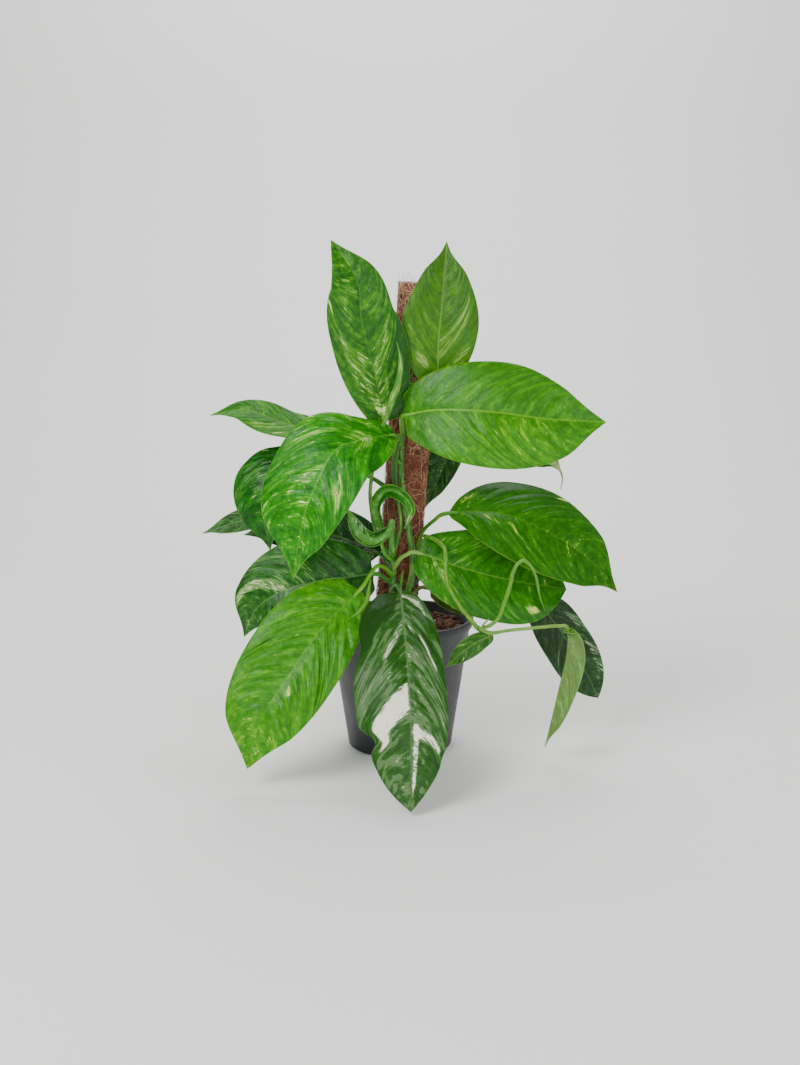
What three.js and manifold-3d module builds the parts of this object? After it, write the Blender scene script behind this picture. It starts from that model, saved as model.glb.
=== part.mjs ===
// A marbled climbing aroid on a coir pole, standing in a plain nursery pot.
// Millimetres, +Z up. The origin is the centre of the pot's base and -Y is the front.
import * as THREE from "three";
import { mergeVertices } from "three/addons/utils/BufferGeometryUtils.js";
import Module from "manifold-3d";

const wasm = await Module();
wasm.setup();

// Driving dimensions of the pot and what stands in it
const POT_HEIGHT = 165;
const POT_RIM_RADIUS = 90;
const POT_BASE_RADIUS = 66;
const POT_WALL = 1.8;
const POT_FLOOR = 3;
const LIP_REACH = 3.2;
const LIP_DEPTH = 11;
const DRAIN_RADIUS = 5;
const DRAIN_COUNT = 6;
const SOIL_TOP = 150;
const SOIL_CROWN = 4;

// Driving dimensions of the coir pole, which leans a little to the right
const POLE_FOOT = new THREE.Vector3(-17, 0, 6);
const POLE_HEAD = new THREE.Vector3(24.5, 0, 577);
const COIR_RADIUS = 26;
const COIR_START = 118;
const CORE_RADIUS = 11;
const CORE_WALL = 1.6;
const CORE_SHORTFALL = 7;

// Gaps, thicknesses and how finely the plant is cut up
const GAP = 0.3;
const BLADE_HALF_THICKNESS = 0.45;
const MIDRIB_RIDGE = 1.3;
const MARGIN_SHARPNESS = 4;
const TIP_RADIUS = 0.5;
const STALK_RADIUS = 2.5;
const STALK_FLARE = 0.05;
const BASE_LOBE = 10;
const DRIP_START = 0.78;
const DRIP_FULL = 0.96;
const DRIP = 0.45;
const TAPER = 2.1;
const STEM_SIDES = 7;
const STEP_PER_POINT = 24;
const LEAF_SIDES = 12;
const BLADE_RINGS = 9;
const RINGS_PER_STALK_POINT = 1.5;

const GREEN = 0x2f7d1c;
const PALE_GREEN = 0x8fbb5a;

// Each leaf is grown as one piece: stalk points from the stem, then midrib points to the tip.
// face is where the upper side looks, half the widest left and right half, peak where that is,
// fold how far each half rises from flat at the midrib and droop how far it bends back, in degrees.
// steady turns the sections of a sharply bent leaf towards its base-to-tip line, so that they don't cross,
// and drip is how much the last part of the blade narrows towards its tip.
// notches narrow one half about a station: [half, station, length along the blade, share taken off].
// lobe is how far the base of the blade's margins reaches back along the stalk.
const LEAVES = [
  {
    name: "leaf_top_left",
    stalk: [[2, -35, 386], [-8, -39, 396], [-15, -41, 405]],
    rib: [[-19, -43, 413], [-25, -49, 449], [-37, -58, 500], [-45, -61, 536], [-50, -60, 579],
      [-80, -50, 625]],
    face: [0.1, -1, 0.15], half: [41, 47], peak: [0.42, 0.42], taper: [2.9, 1.5],
    fold: [12, 12], droop: [22, 22], drip: 0.2,
  },
  {
    name: "leaf_top_right",
    stalk: [[11, -34, 458], [24, -35, 456], [36, -37, 455]],
    rib: [[44, -38, 457], [45, -44, 499], [48, -46, 539], [52, -38, 586], [55, -28, 625]],
    face: [0, -1, 0.1], half: [44, 46], peak: [0.43, 0.43], taper: [1.6, 1.7],
    fold: [10, 10], droop: [20, 20],
  },
  {
    name: "leaf_upper_right",
    stalk: [[3, -34, 400], [2, -42, 411], [2, -48, 418]],
    rib: [[5, -54, 422], [43, -70, 430], [104, -84, 429], [174, -80, 420], [243, -62, 415]],
    face: [0, -1, 0.35], half: [62, 67], peak: [0.46, 0.46], taper: [1.9, 2.1],
    fold: [10, 10], droop: [20, 20], drip: 0.25,
  },
  {
    name: "leaf_mid_left",
    stalk: [[-8, -37, 254], [-3, -38, 270], [1, -40, 288], [-1, -42, 310], [-6, -43, 334],
      [-8, -44, 356], [-6, -47, 379]],
    rib: [[-5, -56, 398], [-35, -86, 398], [-73, -112, 388], [-96, -126, 348], [-112, -128, 303],
      [-123, -120, 239]],
    face: [-0.3, -1, 0.5], half: [52, 63], peak: [0.4, 0.6], fold: [8, 12], droop: [30, 20], steady: 0.5,
    notches: [[0, 0, 0.17, 0.55], [1, 0, 0.12, 0.4]],
  },
  {
    name: "leaf_far_left",
    stalk: [[1, -33, 362], [-24, -30, 390], [-61, -8, 398]],
    rib: [[-86, 4, 397], [-143, 12, 408], [-193, 24, 424], [-239, 32, 416]],
    face: [0.1, -0.4, 1], half: [42, 34], peak: [0.42, 0.42], fold: [10, 10], droop: [16, 16],
  },
  {
    name: "leaf_back_left",
    stalk: [[-16, -15, 330], [-34, -12, 342], [-59, 0, 351], [-93, 2, 369]],
    rib: [[-126, -4, 366], [-153, -20, 356], [-168, -34, 317], [-159, -34, 256]],
    face: [-0.5, -1, 0.3], half: [42, 44], peak: [0.42, 0.42], fold: [10, 10], droop: [20, 20], steady: 0.5,
  },
  {
    name: "leaf_left_small",
    stalk: [[-20, -12, 258], [-36, -4, 266], [-63, 14, 278], [-95, 24, 288]],
    rib: [[-127, 30, 291], [-192, 36, 284], [-254, 40, 264]],
    face: [0, -0.5, 1], half: [27, 27], peak: [0.42, 0.42], fold: [8, 8], droop: [12, 12],
  },
  {
    name: "leaf_shade_left",
    stalk: [[-9, -37, 234], [-18, -38, 244]],
    rib: [[-25, -38, 252], [-74, -18, 270], [-135, -12, 279], [-194, -10, 271]],
    face: [0, -1, 0.8], half: [36, 40], peak: [0.42, 0.42], fold: [10, 10], droop: [15, 15],
  },
  {
    name: "leaf_low_left",
    stalk: [[-9, -37, 214], [-20, -44, 224]],
    rib: [[-32, -52, 230], [-79, -66, 226], [-133, -68, 216], [-172, -64, 191], [-191, -54, 152]],
    face: [-0.2, -1, 0.35], half: [50, 56], peak: [0.42, 0.42], fold: [10, 10], droop: [15, 15],
  },
  {
    name: "leaf_front_left",
    stalk: [[-9, -38, 225], [-18, -49, 237], [-28, -59, 241], [-37, -71, 231]],
    rib: [[-48, -84, 217], [-90, -122, 182], [-126, -150, 135], [-158, -165, 86], [-176, -165, 25]],
    face: [0, -1, 0.6], half: [53, 62], peak: [0.44, 0.42], taper: [3.2, 2.4],
    fold: [14, 14], droop: [24, 24], drip: 0.3,
  },
  {
    name: "leaf_front_centre",
    stalk: [[-8, -38, 207], [-5, -56, 217], [-2, -70, 219]],
    rib: [[0, -84, 216], [3, -125, 201], [8, -182, 159], [12, -222, 97], [12, -246, 7]],
    face: [0, -1, 0.7], half: [44, 64], peak: [0.5, 0.42], taper: [3.4, 3.9],
    fold: [6, 6], droop: [36, 36], drip: 0.1,
    notches: [[1, 0.33, 0.09, 0.14], [1, 0.735, 0.04, 0.26], [1, 0.82, 0.1, 0.14],
      [0, 0.8, 0.03, 0.05]],
  },
  {
    name: "leaf_mid_right",
    stalk: [[15, -32, 247], [22, -24, 263], [28, -26, 278], [41, -36, 293]],
    rib: [[59, -46, 304], [119, -72, 308], [177, -84, 286], [223, -80, 255], [262, -66, 211]],
    face: [0.1, -0.8, 0.8], half: [60, 58], peak: [0.46, 0.46], fold: [8, 8], droop: [24, 24],
    lobe: 3, notches: [[0, 0, 0.06, 0.25], [1, 0, 0.16, 0.5]],
  },
  {
    name: "leaf_low_right",
    stalk: [[-8, -37, 234], [0, -44, 247], [8, -48, 253]],
    rib: [[21, -50, 256], [72, -58, 240], [133, -54, 223], [205, -34, 207]],
    face: [0.1, -1, 0.6], half: [58, 56], peak: [0.52, 0.48], taper: [3.4, 3.4],
    fold: [10, 10], droop: [24, 24], drip: 0,
  },
  {
    name: "leaf_shade_right",
    stalk: [[10, -34, 208], [34, -6, 222], [62, 14, 224], [114, 14, 212]],
    rib: [[163, -10, 190], [196, -14, 157], [231, -6, 102], [254, 0, 57]],
    face: [0.5, -1, 0.2], half: [34, 36], peak: [0.42, 0.42], taper: [4, 3.4],
    fold: [10, 10], droop: [24, 24], drip: 0,
  },
  {
    name: "leaf_back_low",
    stalk: [[9, -34, 196], [25, -26, 207]],
    rib: [[37, -24, 206], [70, -16, 198], [108, -4, 190], [146, 8, 178]],
    face: [0, -1, 0.6], half: [26, 28], peak: [0.42, 0.42], fold: [10, 10], droop: [20, 20],
  },
  {
    name: "leaf_back_right",
    stalk: [[24, 20, 366], [28, 34, 384]],
    rib: [[38, 42, 394], [89, 46, 414], [140, 36, 405], [172, 22, 374], [194, 16, 356],
      [203, 13, 341], [201, 10, 325]],
    face: [0, -1, 0.2], half: [36, 34], peak: [0.35, 0.35], fold: [10, 10], droop: [24, 24], drip: 0.75,
    notches: [[0, 0.9, 0.1, 0.75], [1, 0.9, 0.1, 0.75]],
  },
  {
    name: "leaf_back_hanging",
    stalk: [[24, 18, 424], [44, 54, 446]],
    rib: [[70, 62, 424], [66, 60, 377], [54, 58, 343], [30, 52, 292]],
    face: [0, -1, 0.2], half: [19, 28], peak: [0.42, 0.42], fold: [10, 10], droop: [20, 20],
  },
  {
    name: "leaf_young_hook", stalkRadius: 2.2,
    stalk: [[-9, -37, 243], [-17, -47, 252], [-22, -49, 264]],
    rib: [[-22, -48, 279], [-31, -52, 311], [-23, -58, 330], [-10, -62, 335], [7, -66, 325],
      [14, -68, 309], [5, -66, 288]],
    face: [0, -1, 0], half: [7, 10], peak: [0.5, 0.5], fold: [30, 30], droop: [0, 0],
  },
  {
    name: "leaf_young_curled", stalkRadius: 3.6,
    stalk: [[-9, -38, 250], [-10, -50, 262], [-10, -55, 284], [-9, -63, 297]],
    rib: [[-12, -70, 291], [-18, -73, 282], [-34, -80, 276], [-51, -86, 289], [-62, -88, 317]],
    face: [0, -1, 0], half: [8, 14], peak: [0.5, 0.5], fold: [30, 30], droop: [0, 0],
  },
  {
    name: "leaf_runner_narrow", stalkRadius: 2,
    stalk: [[92, -110, 178], [106, -108, 171], [124, -106, 173], [142, -102, 174], [168, -96, 175],
      [190, -90, 175]],
    rib: [[200, -88, 171], [200, -88, 139], [191, -84, 89], [178, -74, 18]],
    face: [-0.1, -1, 0.1], half: [22, 25], peak: [0.36, 0.25], fold: [-14, 150], droop: [0, 0],
  },
  {
    name: "leaf_runner_small", stalkRadius: 1.6,
    stalk: [[88, -108, 179], [95, -103, 172], [104, -101, 168]],
    rib: [[110, -101, 166], [92, -105, 160], [72, -110, 147], [54, -112, 130]],
    face: [0, -1, 0], half: [13, 12], peak: [0.42, 0.42], fold: [10, 10], droop: [0, 0],
  },
];

// Stems, shoots and roots: points along the middle, with the radius at each end or along the way.
const STEMS = [
  {
    name: "stem_main", colour: GREEN, radii: [4.6, 4.4, 3.9, 3.2, 1.2],
    path: [[-5, -34, 112], [-3, -36, 160], [0, -36, 184], [10, -34, 206], [15, -32, 228], [15, -32, 253],
      [11, -32, 278], [6, -33, 308], [2, -33, 342], [2, -32, 379], [4, -31, 409], [6, -31, 433],
      [10, -31, 457], [17, -31, 477]],
  },
  {
    name: "stem_left", colour: GREEN, radii: [4.6, 4.4, 3.2],
    path: [[-14, -38, 112], [-13, -40, 160], [-11, -40, 190], [-9, -38, 207], [-8, -37, 229],
      [-9, -37, 250], [-8, -37, 258]],
  },
  {
    name: "leaf_rolled_new", colour: PALE_GREEN, radii: [2.6, 2.5, 2.4, 2.3, 2.2, 2.4, 4.6, 3.4, 0.4],
    path: [[-9, -35, 250], [-22, -34, 262], [-31, -38, 285], [-35, -40, 310], [-36, -39, 331],
      [-31, -44, 368], [-24, -56, 400],
      [-16, -61, 420], [-11, -64, 436], [-3, -66, 458], [1, -67, 480], [-1, -66, 497], [-4, -65, 509]],
  },
  {
    name: "runner", colour: PALE_GREEN, radii: [2.6, 2.5, 2.4, 2.6],
    path: [[30, -36, 274], [36, -46, 274], [46, -60, 271], [53, -74, 265], [54, -86, 254], [55, -98, 231],
      [67, -106, 208], [80, -110, 191], [91, -111, 178]],
  },
  {
    name: "runner_shoot", colour: PALE_GREEN, radii: [2.2, 2.4, 2.2, 1.6, 0.4],
    path: [[96, -113, 179], [104, -114, 181], [115, -115, 191], [121, -119, 210], [126, -126, 229],
      [129, -133, 248], [134, -138, 260], [141, -139, 264], [150, -135, 256], [157, -126, 240],
      [162, -116, 219], [170, -105, 197]],
  },
  {
    name: "sheath_hook", colour: PALE_GREEN, radii: [1.2, 2.8, 2.6, 0.4],
    path: [[-35, -76, 228], [-37, -86, 219], [-39, -100, 208], [-47, -116, 199], [-59, -128, 193]],
  },
  {
    name: "shoot_spike", colour: GREEN, radii: [2.2, 1.8, 0.4],
    path: [[1, -42, 212], [2, -42, 222], [4, -43, 234]],
  },
  {
    name: "root_stub", colour: PALE_GREEN, radii: [1.8, 1.9, 1.5],
    path: [[24, -34, 262], [34, -40, 261], [45, -46, 262]],
  },
  {
    name: "runner_root", colour: PALE_GREEN, radii: [1.2, 0.7],
    path: [[96, -117, 182], [104, -119, 192]],
  },
];

// Aerial roots that hold the main stem to the coir: the height of each and the side it takes
const ROOT_HEIGHTS = [240, 296, 340, 392, 440];
const ROOT_RADIUS = 1.1;
const ROOT_SPREAD = 7;
const ROOT_SINK = 1.5;

// A smooth step from 0 at low to 1 at high.
function ease(low, high, value) {
  return THREE.MathUtils.smoothstep(value, low, high);
}

// A smooth curve through points, with even steps along its length.
function smoothCurve(points) {
  const curve = new THREE.CatmullRomCurve3(points.map((p) => new THREE.Vector3(...p)), false, "catmullrom");
  curve.arcLengthDivisions = STEP_PER_POINT * (points.length - 1);
  return curve;
}

// The solid that manifold-3d works with, from a closed three.js geometry.
function solidOf(geometry) {
  const bare = new THREE.BufferGeometry();
  bare.setAttribute("position", geometry.getAttribute("position"));
  bare.setIndex(geometry.index);
  const merged = mergeVertices(bare, 1e-3);
  const vertProperties = merged.getAttribute("position").array;
  const triVerts = new Uint32Array(merged.index.array);
  return new wasm.Manifold(new wasm.Mesh({ numProp: 3, vertProperties, triVerts }));
}

// The three.js geometry of a manifold-3d solid.
function geometryOf(solid) {
  const mesh = solid.getMesh();
  const geometry = new THREE.BufferGeometry();
  geometry.setAttribute("position", new THREE.BufferAttribute(mesh.vertProperties, 3));
  geometry.setIndex(new THREE.BufferAttribute(mesh.triVerts, 1));
  geometry.computeVertexNormals();
  return geometry;
}

// A closed bar made from a unit cylinder: place(along, across, up) gives where each vertex goes,
// with along from 0 to 1 and across and up within the unit circle.
function bar(sides, rings, place) {
  const geometry = new THREE.CylinderGeometry(1, 1, 1, sides, rings);
  const position = geometry.getAttribute("position");
  for (let i = 0; i < position.count; i++) {
    const point = place(0.5 + position.getY(i), position.getX(i), position.getZ(i));
    position.setXYZ(i, point.x, point.y, point.z);
  }
  return geometry;
}

// The frame that travels along a curve without twisting: a point, its tangent and its upward side.
function travellingFrames(curve, rings, firstUp) {
  const frames = [];
  let up = firstUp.clone();
  for (let i = 0; i <= rings; i++) {
    const tangent = curve.getTangentAt(i / rings);
    up = up.sub(tangent.clone().multiplyScalar(up.dot(tangent))).normalize();
    frames.push({ point: curve.getPointAt(i / rings), tangent, up: up.clone() });
  }
  return frames;
}

// The radius at a place along a stem, between the radii that it is given.
function radiusAlong(radii, along) {
  const place = Math.min(along, 0.9999) * (radii.length - 1);
  const first = Math.floor(place);
  return THREE.MathUtils.lerp(radii[first], radii[first + 1], ease(0, 1, place - first));
}

// A round stem, shoot or root along its points, grown outwards by extra.
function stemGeometry({ path, radii }, extra = 0) {
  const rings = Math.round(path.length * RINGS_PER_STALK_POINT);
  const frames = travellingFrames(smoothCurve(path), rings, new THREE.Vector3(0.2, -1, 0.1));
  return bar(STEM_SIDES, rings, (along, across, up) => {
    const frame = frames[Math.round(along * rings)];
    const radius = radiusAlong(radii, along) + extra;
    const side = new THREE.Vector3().crossVectors(frame.tangent, frame.up);
    return frame.point.clone().addScaledVector(side, across * radius).addScaledVector(frame.up, up * radius);
  });
}

// How wide half a blade is at a station from base to tip, as a share of its widest.
function halfOutline(leaf, side, station) {
  const peak = leaf.peak[side];
  const taper = leaf.taper ? leaf.taper[side] : TAPER;
  const body = station < peak
    ? Math.pow(1 - (1 - station / peak) ** 2, 0.55)
    : 1 - Math.pow((station - peak) / (1 - peak), taper);
  let narrowed = 1 - (leaf.drip ?? DRIP) * ease(DRIP_START, DRIP_FULL, station);
  for (const [half, place, length, taken] of leaf.notches ?? []) {
    if (half === side) narrowed *= 1 - taken * Math.exp(-(((station - place) / length) ** 2));
  }
  return body * narrowed;
}

// A place in a leaf's section. Half a blade leaves the midrib at its fold and bends back by its droop.
function sectionPoint(leaf, frame, station, across, up) {
  const side = across < 0 ? 0 : 1;
  const share = Math.abs(across);
  const opened = ease(0, STALK_FLARE, station);
  const half = leaf.half[side];
  const stalkRadius = leaf.stalkRadius ?? STALK_RADIUS;
  const least = THREE.MathUtils.lerp(stalkRadius, TIP_RADIUS, ease(0, 1, station));
  const reach = share * Math.max(least, half * halfOutline(leaf, side, Math.max(station, 0)));
  const fold = THREE.MathUtils.degToRad(leaf.fold[side]) * opened;
  const curl = (THREE.MathUtils.degToRad(leaf.droop[side]) * opened) / half;
  const angle = fold - curl * reach;
  const bent = Math.abs(curl) > 1e-6;
  const out = bent ? (Math.sin(fold) - Math.sin(angle)) / curl : reach * Math.cos(fold);
  const rise = bent ? (Math.cos(angle) - Math.cos(fold)) / curl : reach * Math.sin(fold);
  const bisector = THREE.MathUtils.degToRad(leaf.fold[1] - leaf.fold[0]) * 0.5 * opened;
  const tilt = share < 1e-6 ? bisector * (side ? 1 : -1) : angle;
  const plate = THREE.MathUtils.clamp(up * MARGIN_SHARPNESS, -1, 1) * BLADE_HALF_THICKNESS;
  const ridge = up < -0.99 ? -MIDRIB_RIDGE * (1 - station) : 0;
  const depth = THREE.MathUtils.lerp(up * stalkRadius, plate + ridge, opened);
  const sideways = new THREE.Vector3().crossVectors(frame.tangent, frame.up).multiplyScalar(side ? 1 : -1);
  const lobeLength = (leaf.lobe ?? BASE_LOBE) * (half / 60);
  const lobe = station > 0 ? lobeLength * share ** 1.6 * (1 - station) ** 6 * opened : 0;
  return frame.point.clone()
    .addScaledVector(sideways, out - depth * Math.sin(tilt))
    .addScaledVector(frame.up, rise + depth * Math.cos(tilt))
    .addScaledVector(frame.tangent, -lobe);
}

// A leaf with its stalk, as one closed body.
function leafGeometry(leaf) {
  const curve = smoothCurve([...leaf.stalk, ...leaf.rib]);
  const lengths = curve.getLengths();
  const stalkShare = lengths[STEP_PER_POINT * leaf.stalk.length] / lengths.at(-1);
  const stalkRings = Math.round(leaf.stalk.length * RINGS_PER_STALK_POINT);
  const rings = stalkRings + BLADE_RINGS;
  const face = new THREE.Vector3(...leaf.face);
  const chord = curve.getPointAt(1).sub(curve.getPointAt(stalkShare)).normalize();
  const frames = [];
  for (let i = rings; i >= 0; i--) {
    const bladeStep = (i - stalkRings) / BLADE_RINGS;
    const station = bladeStep < 0 ? bladeStep : bladeStep * (0.55 + 0.45 * bladeStep);
    const along = station < 0 ? (stalkShare * i) / stalkRings : stalkShare + station * (1 - stalkShare);
    const steadied = ease(0, 0.1, station) * (leaf.steady ?? 0);
    const tangent = curve.getTangentAt(along).lerp(chord, steadied).normalize();
    const wanted = station < 0 ? frames[0].up : face;
    const up = wanted.clone().addScaledVector(tangent, -wanted.dot(tangent)).normalize();
    frames.unshift({ point: curve.getPointAt(along), tangent, up, station });
  }
  return bar(LEAF_SIDES, rings, (along, across, up) => {
    const frame = frames[Math.round(along * rings)];
    return sectionPoint(leaf, frame, frame.station, across, up);
  });
}

// A ring or cup turned about Z from a closed profile of [radius, height] pairs.
function turned(profile, segments) {
  const points = profile.map(([radius, height]) => new THREE.Vector2(radius, height));
  const geometry = new THREE.LatheGeometry(points, segments);
  return geometry.rotateX(Math.PI / 2);
}

// The pot: a tapered cup with a turned-over lip and drain holes near the edge of its floor.
function potGeometry() {
  const innerBase = POT_BASE_RADIUS - POT_WALL;
  const innerRim = POT_RIM_RADIUS - POT_WALL;
  const lipFoot = POT_HEIGHT - LIP_DEPTH;
  const wallAtLip = THREE.MathUtils.lerp(POT_BASE_RADIUS, POT_RIM_RADIUS, lipFoot / POT_HEIGHT);
  const cup = turned([
    [0, 0],
    [POT_BASE_RADIUS - 2, 0],
    [POT_BASE_RADIUS, 2],
    [wallAtLip, lipFoot],
    [wallAtLip + LIP_REACH, lipFoot],
    [POT_RIM_RADIUS + LIP_REACH, POT_HEIGHT],
    [innerRim, POT_HEIGHT],
    [innerBase, POT_FLOOR],
    [0, POT_FLOOR],
  ], 40);
  let pot = solidOf(cup);
  for (let i = 0; i < DRAIN_COUNT; i++) {
    const angle = (2 * Math.PI * i) / DRAIN_COUNT;
    const drill = new THREE.CylinderGeometry(DRAIN_RADIUS, DRAIN_RADIUS, POT_FLOOR * 4, 12);
    drill.rotateX(Math.PI / 2);
    const reach = POT_BASE_RADIUS * 0.68;
    drill.translate(reach * Math.cos(angle), reach * Math.sin(angle), 0);
    pot = pot.subtract(solidOf(drill));
  }
  return geometryOf(pot);
}

// Turns a piece built along Z from the pole's foot to the pole's own lean.
function leanWithPole(geometry) {
  const axis = POLE_HEAD.clone().sub(POLE_FOOT).normalize();
  const lean = new THREE.Quaternion().setFromUnitVectors(new THREE.Vector3(0, 0, 1), axis);
  return geometry.applyQuaternion(lean).translate(POLE_FOOT.x, POLE_FOOT.y, POLE_FOOT.z);
}

const POLE_LENGTH = POLE_HEAD.distanceTo(POLE_FOOT);

// A straight tube on the pole's axis between two distances from its foot.
function poleTube(outer, inner, start, end, segments) {
  const wall = [[inner, start], [outer, start], [outer, end], [inner, end], [inner, start]];
  return leanWithPole(turned(wall, segments));
}

// A solid rod on the pole's axis, the space that nothing else may enter.
function poleRod(radius, end) {
  return leanWithPole(turned([[0, -1], [radius, -1], [radius, end], [0, end]], 28));
}

// The soil fills the pot up to a low crown, with room for what stands in it.
function soilGeometry(standing) {
  const wallAt = (height) => THREE.MathUtils.lerp(POT_BASE_RADIUS, POT_RIM_RADIUS, height / POT_HEIGHT)
    - POT_WALL - GAP * 2;
  const bottom = POT_FLOOR + GAP;
  const fill = turned([
    [0, bottom],
    [wallAt(bottom), bottom],
    [wallAt(SOIL_TOP), SOIL_TOP],
    [wallAt(SOIL_TOP) * 0.6, SOIL_TOP + SOIL_CROWN * 0.7],
    [0, SOIL_TOP + SOIL_CROWN],
  ], 40);
  let soil = solidOf(fill);
  for (const piece of standing) {
    soil = soil.subtract(piece);
  }
  return geometryOf(soil);
}

// The aerial roots: short bars from behind the main stem into the face of the coir.
function aerialRoots(stemCurve) {
  return ROOT_HEIGHTS.map((height, i) => {
    const samples = stemCurve.getSpacedPoints(200);
    const start = samples.reduce((a, b) => (Math.abs(a.z - height) < Math.abs(b.z - height) ? a : b));
    const poleX = THREE.MathUtils.mapLinear(height, POLE_FOOT.z, POLE_HEAD.z, POLE_FOOT.x, POLE_HEAD.x);
    const across = start.x + (i % 2 ? -ROOT_SPREAD : ROOT_SPREAD) - poleX;
    const depth = Math.sqrt((COIR_RADIUS - ROOT_SINK) ** 2 - across ** 2);
    const end = [poleX + across, -depth, height + ROOT_SPREAD / 2];
    const bend = [(start.x + end[0]) / 2 + (i % 2 ? -2 : 2), (start.y - depth) / 2 - 1, height + 1];
    return { path: [[start.x, start.y, start.z], bend, end], radii: [ROOT_RADIUS, ROOT_RADIUS * 0.8] };
  });
}

const plant = new THREE.Group();

// Adds a named piece with its own finish.
function add(name, geometry, color, roughness) {
  const material = new THREE.MeshStandardMaterial({ color, roughness, metalness: 0 });
  const mesh = new THREE.Mesh(geometry, material);
  mesh.name = name;
  plant.add(mesh);
}

// What stands in the soil keeps clear of it, and each thing that grows from another keeps a gap to it.
const grownStems = STEMS.map((stem) => solidOf(stemGeometry(stem, GAP)));
const poleSpace = solidOf(poleRod(COIR_RADIUS + GAP, POLE_LENGTH + GAP));

add("pot", potGeometry(), 0x24262a, 0.55);
add("soil", soilGeometry([poleSpace, grownStems[0], grownStems[1]]), 0x3a2a1e, 1);
const poleCore = poleTube(CORE_RADIUS, CORE_RADIUS - CORE_WALL, 0, POLE_LENGTH - CORE_SHORTFALL, 24);
add("pole_core", poleCore, 0x3d3f42, 0.5);
add("coir_sleeve", poleTube(COIR_RADIUS, CORE_RADIUS + GAP, COIR_START, POLE_LENGTH, 28), 0x7c5230, 1);

STEMS.forEach((stem, index) => {
  let solid = solidOf(stemGeometry(stem));
  for (let other = 0; other < index; other++) {
    solid = solid.subtract(grownStems[other]);
  }
  add(stem.name, geometryOf(solid), stem.colour, 0.45);
});

aerialRoots(smoothCurve(STEMS[0].path)).forEach((root, index) => {
  const solid = solidOf(stemGeometry(root)).subtract(grownStems[0]).subtract(poleSpace);
  add(`aerial_root_${index + 1}`, geometryOf(solid), 0x8a6a44, 0.8);
});

for (const leaf of LEAVES) {
  let solid = solidOf(leafGeometry(leaf)).subtract(poleSpace);
  for (const stem of grownStems) {
    solid = solid.subtract(stem);
  }
  add(leaf.name, geometryOf(solid), GREEN, 0.4);
}

export default plant;
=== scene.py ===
import math
import random
from bisect import bisect_right

import bmesh
import bpy
from mathutils import Matrix, Vector, noise


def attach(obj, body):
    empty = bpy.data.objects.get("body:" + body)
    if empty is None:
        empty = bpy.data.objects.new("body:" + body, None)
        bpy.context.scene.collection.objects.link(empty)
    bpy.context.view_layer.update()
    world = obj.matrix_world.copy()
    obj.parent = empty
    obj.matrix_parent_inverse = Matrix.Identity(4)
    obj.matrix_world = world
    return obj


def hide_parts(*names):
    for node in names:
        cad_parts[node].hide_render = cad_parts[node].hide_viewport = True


# The looks of a marbled climbing aroid on a coir pole in a plain nursery pot.
# Metres, +Z up, with the origin at the centre of the pot's base and -Y at the front.
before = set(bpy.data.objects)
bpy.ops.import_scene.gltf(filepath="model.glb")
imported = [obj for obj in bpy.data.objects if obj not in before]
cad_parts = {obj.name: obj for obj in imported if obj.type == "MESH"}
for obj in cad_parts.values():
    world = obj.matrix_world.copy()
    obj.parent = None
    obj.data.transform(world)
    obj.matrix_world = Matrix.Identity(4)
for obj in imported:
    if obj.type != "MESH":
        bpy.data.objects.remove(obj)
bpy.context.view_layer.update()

MM = 0.001

# Driving sizes of the pot and the pole, the same as the solid model's
POT_HEIGHT = 165 * MM
POT_RIM_RADIUS = 90 * MM
POT_BASE_RADIUS = 66 * MM
POT_WALL = 1.8 * MM
POT_FLOOR = 3 * MM
LIP_REACH = 3.2 * MM
LIP_DEPTH = 11 * MM
SOIL_TOP = 150 * MM
SOIL_CROWN = 4 * MM
POLE_FOOT = Vector((-17, 0, 6)) * MM
POLE_HEAD = Vector((24.5, 0, 577)) * MM
COIR_RADIUS = 26 * MM
COIR_START = 118 * MM
CORE_RADIUS = 11 * MM
CORE_WALL = 1.6 * MM
CORE_SHORTFALL = 7 * MM
POT_SIDES = 96

# Driving sizes of a leaf, the same as the solid model's
STALK_RADIUS = 2.5
TIP_RADIUS = 0.5
STALK_FLARE = 0.05
BASE_LOBE = 10
LOBE_LEAF_HALF = 60
LOBE_ROUNDNESS = 1.6
LOBE_FADING = 6
BASE_ROUNDNESS = 0.55
STEADY_FROM = 0.1
DRIP_START = 0.78
DRIP_FULL = 0.96
DRIP = 0.45
TAPER = 2.1
STEPS_PER_POINT = 24

# How finely a blade is cut up and how thick it is
BLADE_COLUMNS = 44
ROWS_PER_VEIN = 11
BLADE_THICKNESS = 0.7 * MM
WING_THICKNESS = 0.6 * MM

# How the surface of a blade moves: side veins start upright and close together at its base, the tissue
# puffs up between them, the margin waves, and the midrib lies in a groove
BASE_VEIN_GAP = 0.55
UPRIGHT_VEINS = 0.22
PUFF_FULLNESS = 0.7
PUFF_LEVEL = 0.6
WAVES_PER_SIDE = 2.3
RIB_GROOVE = 0.5


def leaf(name, stalk, rib, face, half, **rest):
    """The shape of one leaf: points along its stalk and its midrib in millimetres, where its upper side
    faces, how wide each half is, and what sets it apart from the usual leaf."""
    usual = dict(peak=(0.42, 0.42), fold=(10, 10), droop=(20, 20), taper=(TAPER, TAPER), drip=DRIP,
                 lobe=BASE_LOBE, steady=0, notches=(), stalk_radius=STALK_RADIUS,
                 veins=12, quilt=1.0, wave=1.6, slant=0.45)
    return {**usual, "name": name, "stalk": stalk, "rib": rib, "face": face, "half": half, **rest}


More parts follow.
